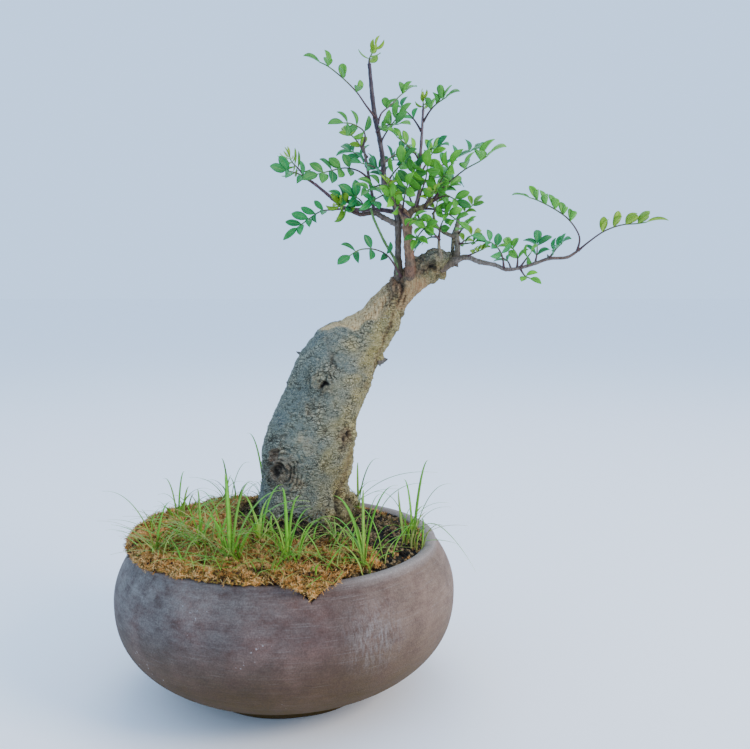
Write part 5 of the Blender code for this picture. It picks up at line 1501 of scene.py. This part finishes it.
def bark():
    """Old bark and dead wood: dull grey-olive grit, with painted light, warmer and lighter, on the right
    side; tan where bare.
    """
    made, node, place, painted_light, pale, bare, burl, rusty, dark = start_material(
        "weathered bark and bare wood", "painted_light", "pale", "bare", "burl", "rusty", "dark")
    broad = node("TexNoise", Vector=place, Scale=grain(15), Detail=5.0, Roughness=0.65)[0]
    cool = node("ValToRGB", broad, stops=[(0.34, "5A635E"), (0.68, "A09E86"), (0.5, "7C8172")])[0]
    # Painted light: the same bark, lighter and yellower, for the sunlit right side
    painted_sunlit_bark = node("ValToRGB", broad, stops=[(0.34, "807442"), (0.66, "B4A466"), (0.5, "9F9260")])[0]
    # Some patches, a few centimetres wide, are worn smooth, and the rest is rough
    worn = node("TexNoise", Vector=place, Scale=grain(24), Detail=4.0, Roughness=0.6)[0]
    rough = node("MapRange", worn, 0.40, 0.58, 0.45, 1.0)[0]
    # Wrinkles run round the trunk, and grains about a millimetre wide lie between them
    leaning = (0.0, math.radians(-24.0), 0.0)
    rounded = node("Mapping", Vector=place, Rotation=leaning, Scale=grain(4.5, 4.5, 1.7))[0]
    wrinkles = node("TexNoise", Vector=rounded, Scale=1.0, Detail=5.0, Roughness=0.7, Distortion=0.5)[0]
    grains = node("TexNoise", Vector=place, Scale=grain(0.9), Detail=3.0, Roughness=0.7)[0]
    # Short dark seams part the bark into plates a few millimetres across
    warp = node("TexNoise", Vector=place, Scale=grain(4), Detail=4.0)["Color"]
    plated = node("Mapping", Vector=place, Rotation=leaning, Scale=grain(3.8, 3.8, 2.1))[0]
    bent = node("VectorMath", warp, (1.7, 1.7, 1.7), plated, operation="MULTIPLY_ADD")[0]
    plates = node("TexVoronoi", Vector=bent, Scale=1.0, feature="DISTANCE_TO_EDGE")["Distance"]
    narrow = node("MapRange", plates, 0.11, 0.02, 0.0, 0.72)[0]
    cracked = node("MapRange", broad, 0.44, 0.56)[0]
    seams = node("Math", narrow, cracked, operation="MULTIPLY")[0]
    # Fibres run along the bare wood
    drawn = node("Mapping", Vector=place, Rotation=(0.0, math.radians(42.0), 0.0),
                 Scale=grain(1.0, 1.0, 11))[0]
    fibres = node("TexNoise", Vector=drawn, Scale=1.0, Detail=5.0, Roughness=0.65, Distortion=0.3)[0]
    wood = node("ValToRGB", fibres,
                stops=[(0.32, "6E5438"), (0.66, "D6C094"), (0.42, "A88C62"), (0.52, "C2AA7C")])[0]
    craggy = node("ValToRGB", fibres, stops=[(0.36, "2C2119"), (0.68, "A88E6C"), (0.5, "6E5842")])[0]
    layers = [
        # Painted light: the right side of the bark painted sunlit
        ([painted_light], painted_sunlit_bark),
        ([pale], "B2AA88"),
        # Dark grooves of the wrinkles, then dark flecks and pale crests of the grains
        ([(wrinkles, 0.48, 0.36, 0.0, 0.75)], "2E2C26"),
        ([(grains, 0.46, 0.36, 0.0, 0.8), rough], "2C2A22"),
        ([(grains, 0.53, 0.66, 0.0, 0.85), rough], "BDB498"),
        ([seams], "24221B"),
        # Bare wood is tan and straw with brown checks, and the crags of the old arm are darker
        ([bare], wood),
        ([burl], craggy),
        ([rusty, grains], "7A4A2C"),
        ([dark], "261F18"),
    ]
    relief = node("Math", grains, rough, wrinkles, operation="MULTIPLY_ADD")[0]
    relief = node("Math", relief, seams, operation="SUBTRACT")[0]
    return dress(made, node, cool, layers, {"Roughness": 0.85, "IOR": 1.45, "Specular IOR Level": 0.3},
                 (0.9, 0.0016, relief))


def twig_bark():
    """Young bark: thin and smooth, its colour running from old grey wood to fresh growth."""
    made, node, place = start_material("young smooth bark")
    hue = node("Attribute", attribute_name="hue")["Color"]
    # Streaks run up it, with short dark marks between them
    streaky = node("Mapping", Vector=place, Scale=grain(1.3, 1.3, 3.6))[0]
    fine = node("TexNoise", Vector=streaky, Scale=1.0, Detail=5.0, Roughness=0.75)[0]
    mottle = node("ValToRGB", fine, stops=[(0.36, "5E5850"), (0.62, "FFFFFF"), (0.46, "A8A096")])[0]
    return dress(made, node, hue, [([0.85], mottle, "MULTIPLY")], {"Roughness": 0.62},
                 (0.5, 0.0003, fine))


def leaf_skin(name, deep, light, underside):
    """A living leaf: satin, lit through a little, with a fine pale midrib and faint side veins."""
    made, node, place, across, along, tone, under, stalk = start_material(
        name, "across", "along", "tone", "under", "stalk")
    # Cloudy patches a few millimetres wide
    patches = node("TexNoise", Vector=place, Scale=grain(4), Detail=3.0)[0]
    mottle = node("ValToRGB", patches, stops=[(0.3, "B4C4A8"), (0.7, "FFFFFF")])[0]
    # Side veins leave the midrib at both sides and run forward
    aside = node("Math", across, operation="ABSOLUTE")[0]
    forward = node("Math", aside, -0.3, along, operation="MULTIPLY_ADD")[0]
    turns = node("Math", forward, 2 * math.pi * SIDE_VEINS, operation="MULTIPLY")[0]
    wave = node("Math", turns, operation="SINE")[0]
    vein = node("MapRange", wave, 0.75, 1.0, 0.0, 0.12)[0]
    rib = node("MapRange", aside, 0.10, 0.0, 0.0, 0.30)[0]
    lines = node("Math", vein, rib, operation="MAXIMUM")[0]
    # The stalk runs from brown-purple at the wood to green at its tip
    stem = node("ValToRGB", along,
                stops=[(0.0, "4A2F33"), (1.0, "5C8A3A"), (0.35, "54403A"), (0.7, "5A6238")])[0]
    layers = [([tone], light), ([0.7], mottle, "MULTIPLY"), ([lines], "9CC568"),
              ([under, 0.45], underside), ([stalk], stem)]
    return dress(made, node, deep, layers,
                 {"Roughness": 0.45, "IOR": 1.42, "Specular IOR Level": 0.35,
                  "Subsurface Weight": 0.1, "Subsurface Radius": (0.4, 1.0, 0.2),
                  "Subsurface Scale": 0.0006})


def grass_skin():
    """Fresh grass: satin green that yellows to the tip, with straw among it."""
    made, node, place, along, tone = start_material("fresh and dry grass", "along", "tone")
    fresh = node("ValToRGB", along,
                 stops=[(0.0, "B0B85A"), (1.0, "A6CE4C"), (0.25, "78B82A"), (0.8, "5AB030")])[0]
    patches = node("TexNoise", Vector=place, Scale=grain(3), Detail=2.0)[0]
    mottle = node("ValToRGB", patches, stops=[(0.3, "C4D0A8"), (0.7, "FFFFFF")])[0]
    return dress(made, node, fresh, [([tone], "A8A458"), ([0.7], mottle, "MULTIPLY")],
                 {"Roughness": 0.5, "IOR": 1.4, "Specular IOR Level": 0.35})


def moss_skin(name, stops, shade_stops):
    """Dried moss: dull, golden to rusty, with dark gaps; damp, dark and olive round the trunk."""
    made, node, place, tone = start_material(name, "tone")
    broad = node("TexNoise", Vector=place, Scale=grain(11), Detail=6.0, Roughness=0.75)[0]
    fine = node("TexNoise", Vector=place, Scale=grain(1.3), Detail=3.0)[0]
    both = node("Math", fine, 0.5, broad, operation="MULTIPLY_ADD")[0]
    toned = node("Math", tone, 0.34, both, operation="MULTIPLY_ADD")[0]
    golden = node("ValToRGB", toned, stops=stops)[0]
    damp = node("ValToRGB", toned, stops=shade_stops)[0]
    # The damp part is the ground within about six centimetres of the trunk's middle
    centred = node("Mapping", Vector=place, Location=(-0.022, -0.012, 0.0), Scale=(1.0, 1.0, 0.0))[0]
    away = node("VectorMath", centred, operation="LENGTH")["Value"]
    ragged = node("Math", broad, -0.05, away, operation="MULTIPLY_ADD")[0]
    return dress(made, node, damp, [([(ragged, 0.030, 0.046)], golden)],
                 {"Roughness": 0.9, "Specular IOR Level": 0.2}, (0.7, 0.001, fine))


def plain(name, code, roughness):
    """A plain dull finish of one colour."""
    made, node, place = start_material(name)
    return dress(made, node, code, [], {"Roughness": roughness})


def light(name, place, aim, size, power, code):
    """Add a soft square light that shines at a point."""
    lamp = bpy.data.lights.new(name, "AREA")
    lamp.size = size
    lamp.energy = power
    lamp.color = colour(code)[:3]
    holder = add_object(name, lamp)
    holder.location = place
    holder.rotation_euler = (Vector(aim) - Vector(place)).to_track_quat("-Z", "Y").to_euler()


def make_studio():
    """Set the plain pale floor, the soft light and the camera at the photograph's angle."""
    floor = bpy.data.meshes.new("floor")
    corners = [(-1, -1), (1, -1), (1, 1), (-1, 1)]
    floor.from_pydata([(x * FLOOR_REACH, y * FLOOR_REACH, 0.0) for x, y in corners], [], [(0, 1, 2, 3)])
    ground = add_object("floor", floor)
    floor.materials.append(plain("pale floor", FLOOR_COLOUR, 0.9))
    world = bpy.data.worlds.new("studio")
    bpy.context.scene.world = world
    world.use_nodes = True
    sky = world.node_tree.nodes["Background"]
    fill(sky, {"Color": SKY_COLOUR, "Strength": SKY_STRENGTH})
    for lamp in LAMPS:
        light(*lamp)
    camera = bpy.data.cameras.new("camera")
    camera.lens = SENSOR_WIDTH * FOCAL_LENGTH / PICTURE_WIDTH
    camera.sensor_width = SENSOR_WIDTH
    camera.clip_end = 50.0
    eye = add_object("camera", camera)
    eye.location = VIEW_POINT * MM
    eye.rotation_euler = (math.pi / 2 - math.atan(BELOW_HORIZON / FOCAL_LENGTH), 0.0, 0.0)
    bpy.context.scene.camera = eye


def main():
    """Make every piece of the bonsai and the studio round it."""
    earth = moss_skin("damp crumbly soil", SOIL_STOPS, SOIL_STOPS)
    moss_finish = moss_skin("dry golden moss", MOSS_STOPS, DAMP_STOPS)
    make_pot(clay())
    bed = make_soil(earth)
    mat = make_moss(moss_finish)
    sprig = spiky_sprig()
    stems = plain("dry stems", "B59A62", 0.85)
    strew("soil_crumbs", bed, crumb(), earth, "crumbs", 1.7e5, 0.5, 3.4, 1.5)
    strew("soil_moss", bed, sprig, moss_finish, "sprigs", 2.6e5, 0.6, 1.7, 0.6)
    strew("moss_sprigs", mat, sprig, moss_finish, "sprigs", 3.6e5, 0.7, 1.8, 1.1)
    strew("moss_straws", mat, straw(), stems, "sprigs", 3.0e4, 0.4, 1.1, 0.5)
    strew("moss_fringe", mat, straw(), moss_finish, "fringe", 2.6e5, 0.35, 0.95, 1.3)
    trunk = make_trunk(bark())
    strew("foot_moss", trunk, sprig, moss_finish, "mossy", 3.0e5, 0.5, 1.7, 0.8)
    make_twigs(twig_bark())
    make_leaves("green", leaf_skin("bright green leaf", "0E6638", "74C62A", "5AA84C"))
    make_leaves("blue", leaf_skin("blue-green leaf", "0A6238", "34A452", "56A874"))
    make_leaves("young", leaf_skin("young yellow-green leaf", "34861E", "98B828", "84A838"))
    make_grass(grass_skin())
    make_studio()


main()
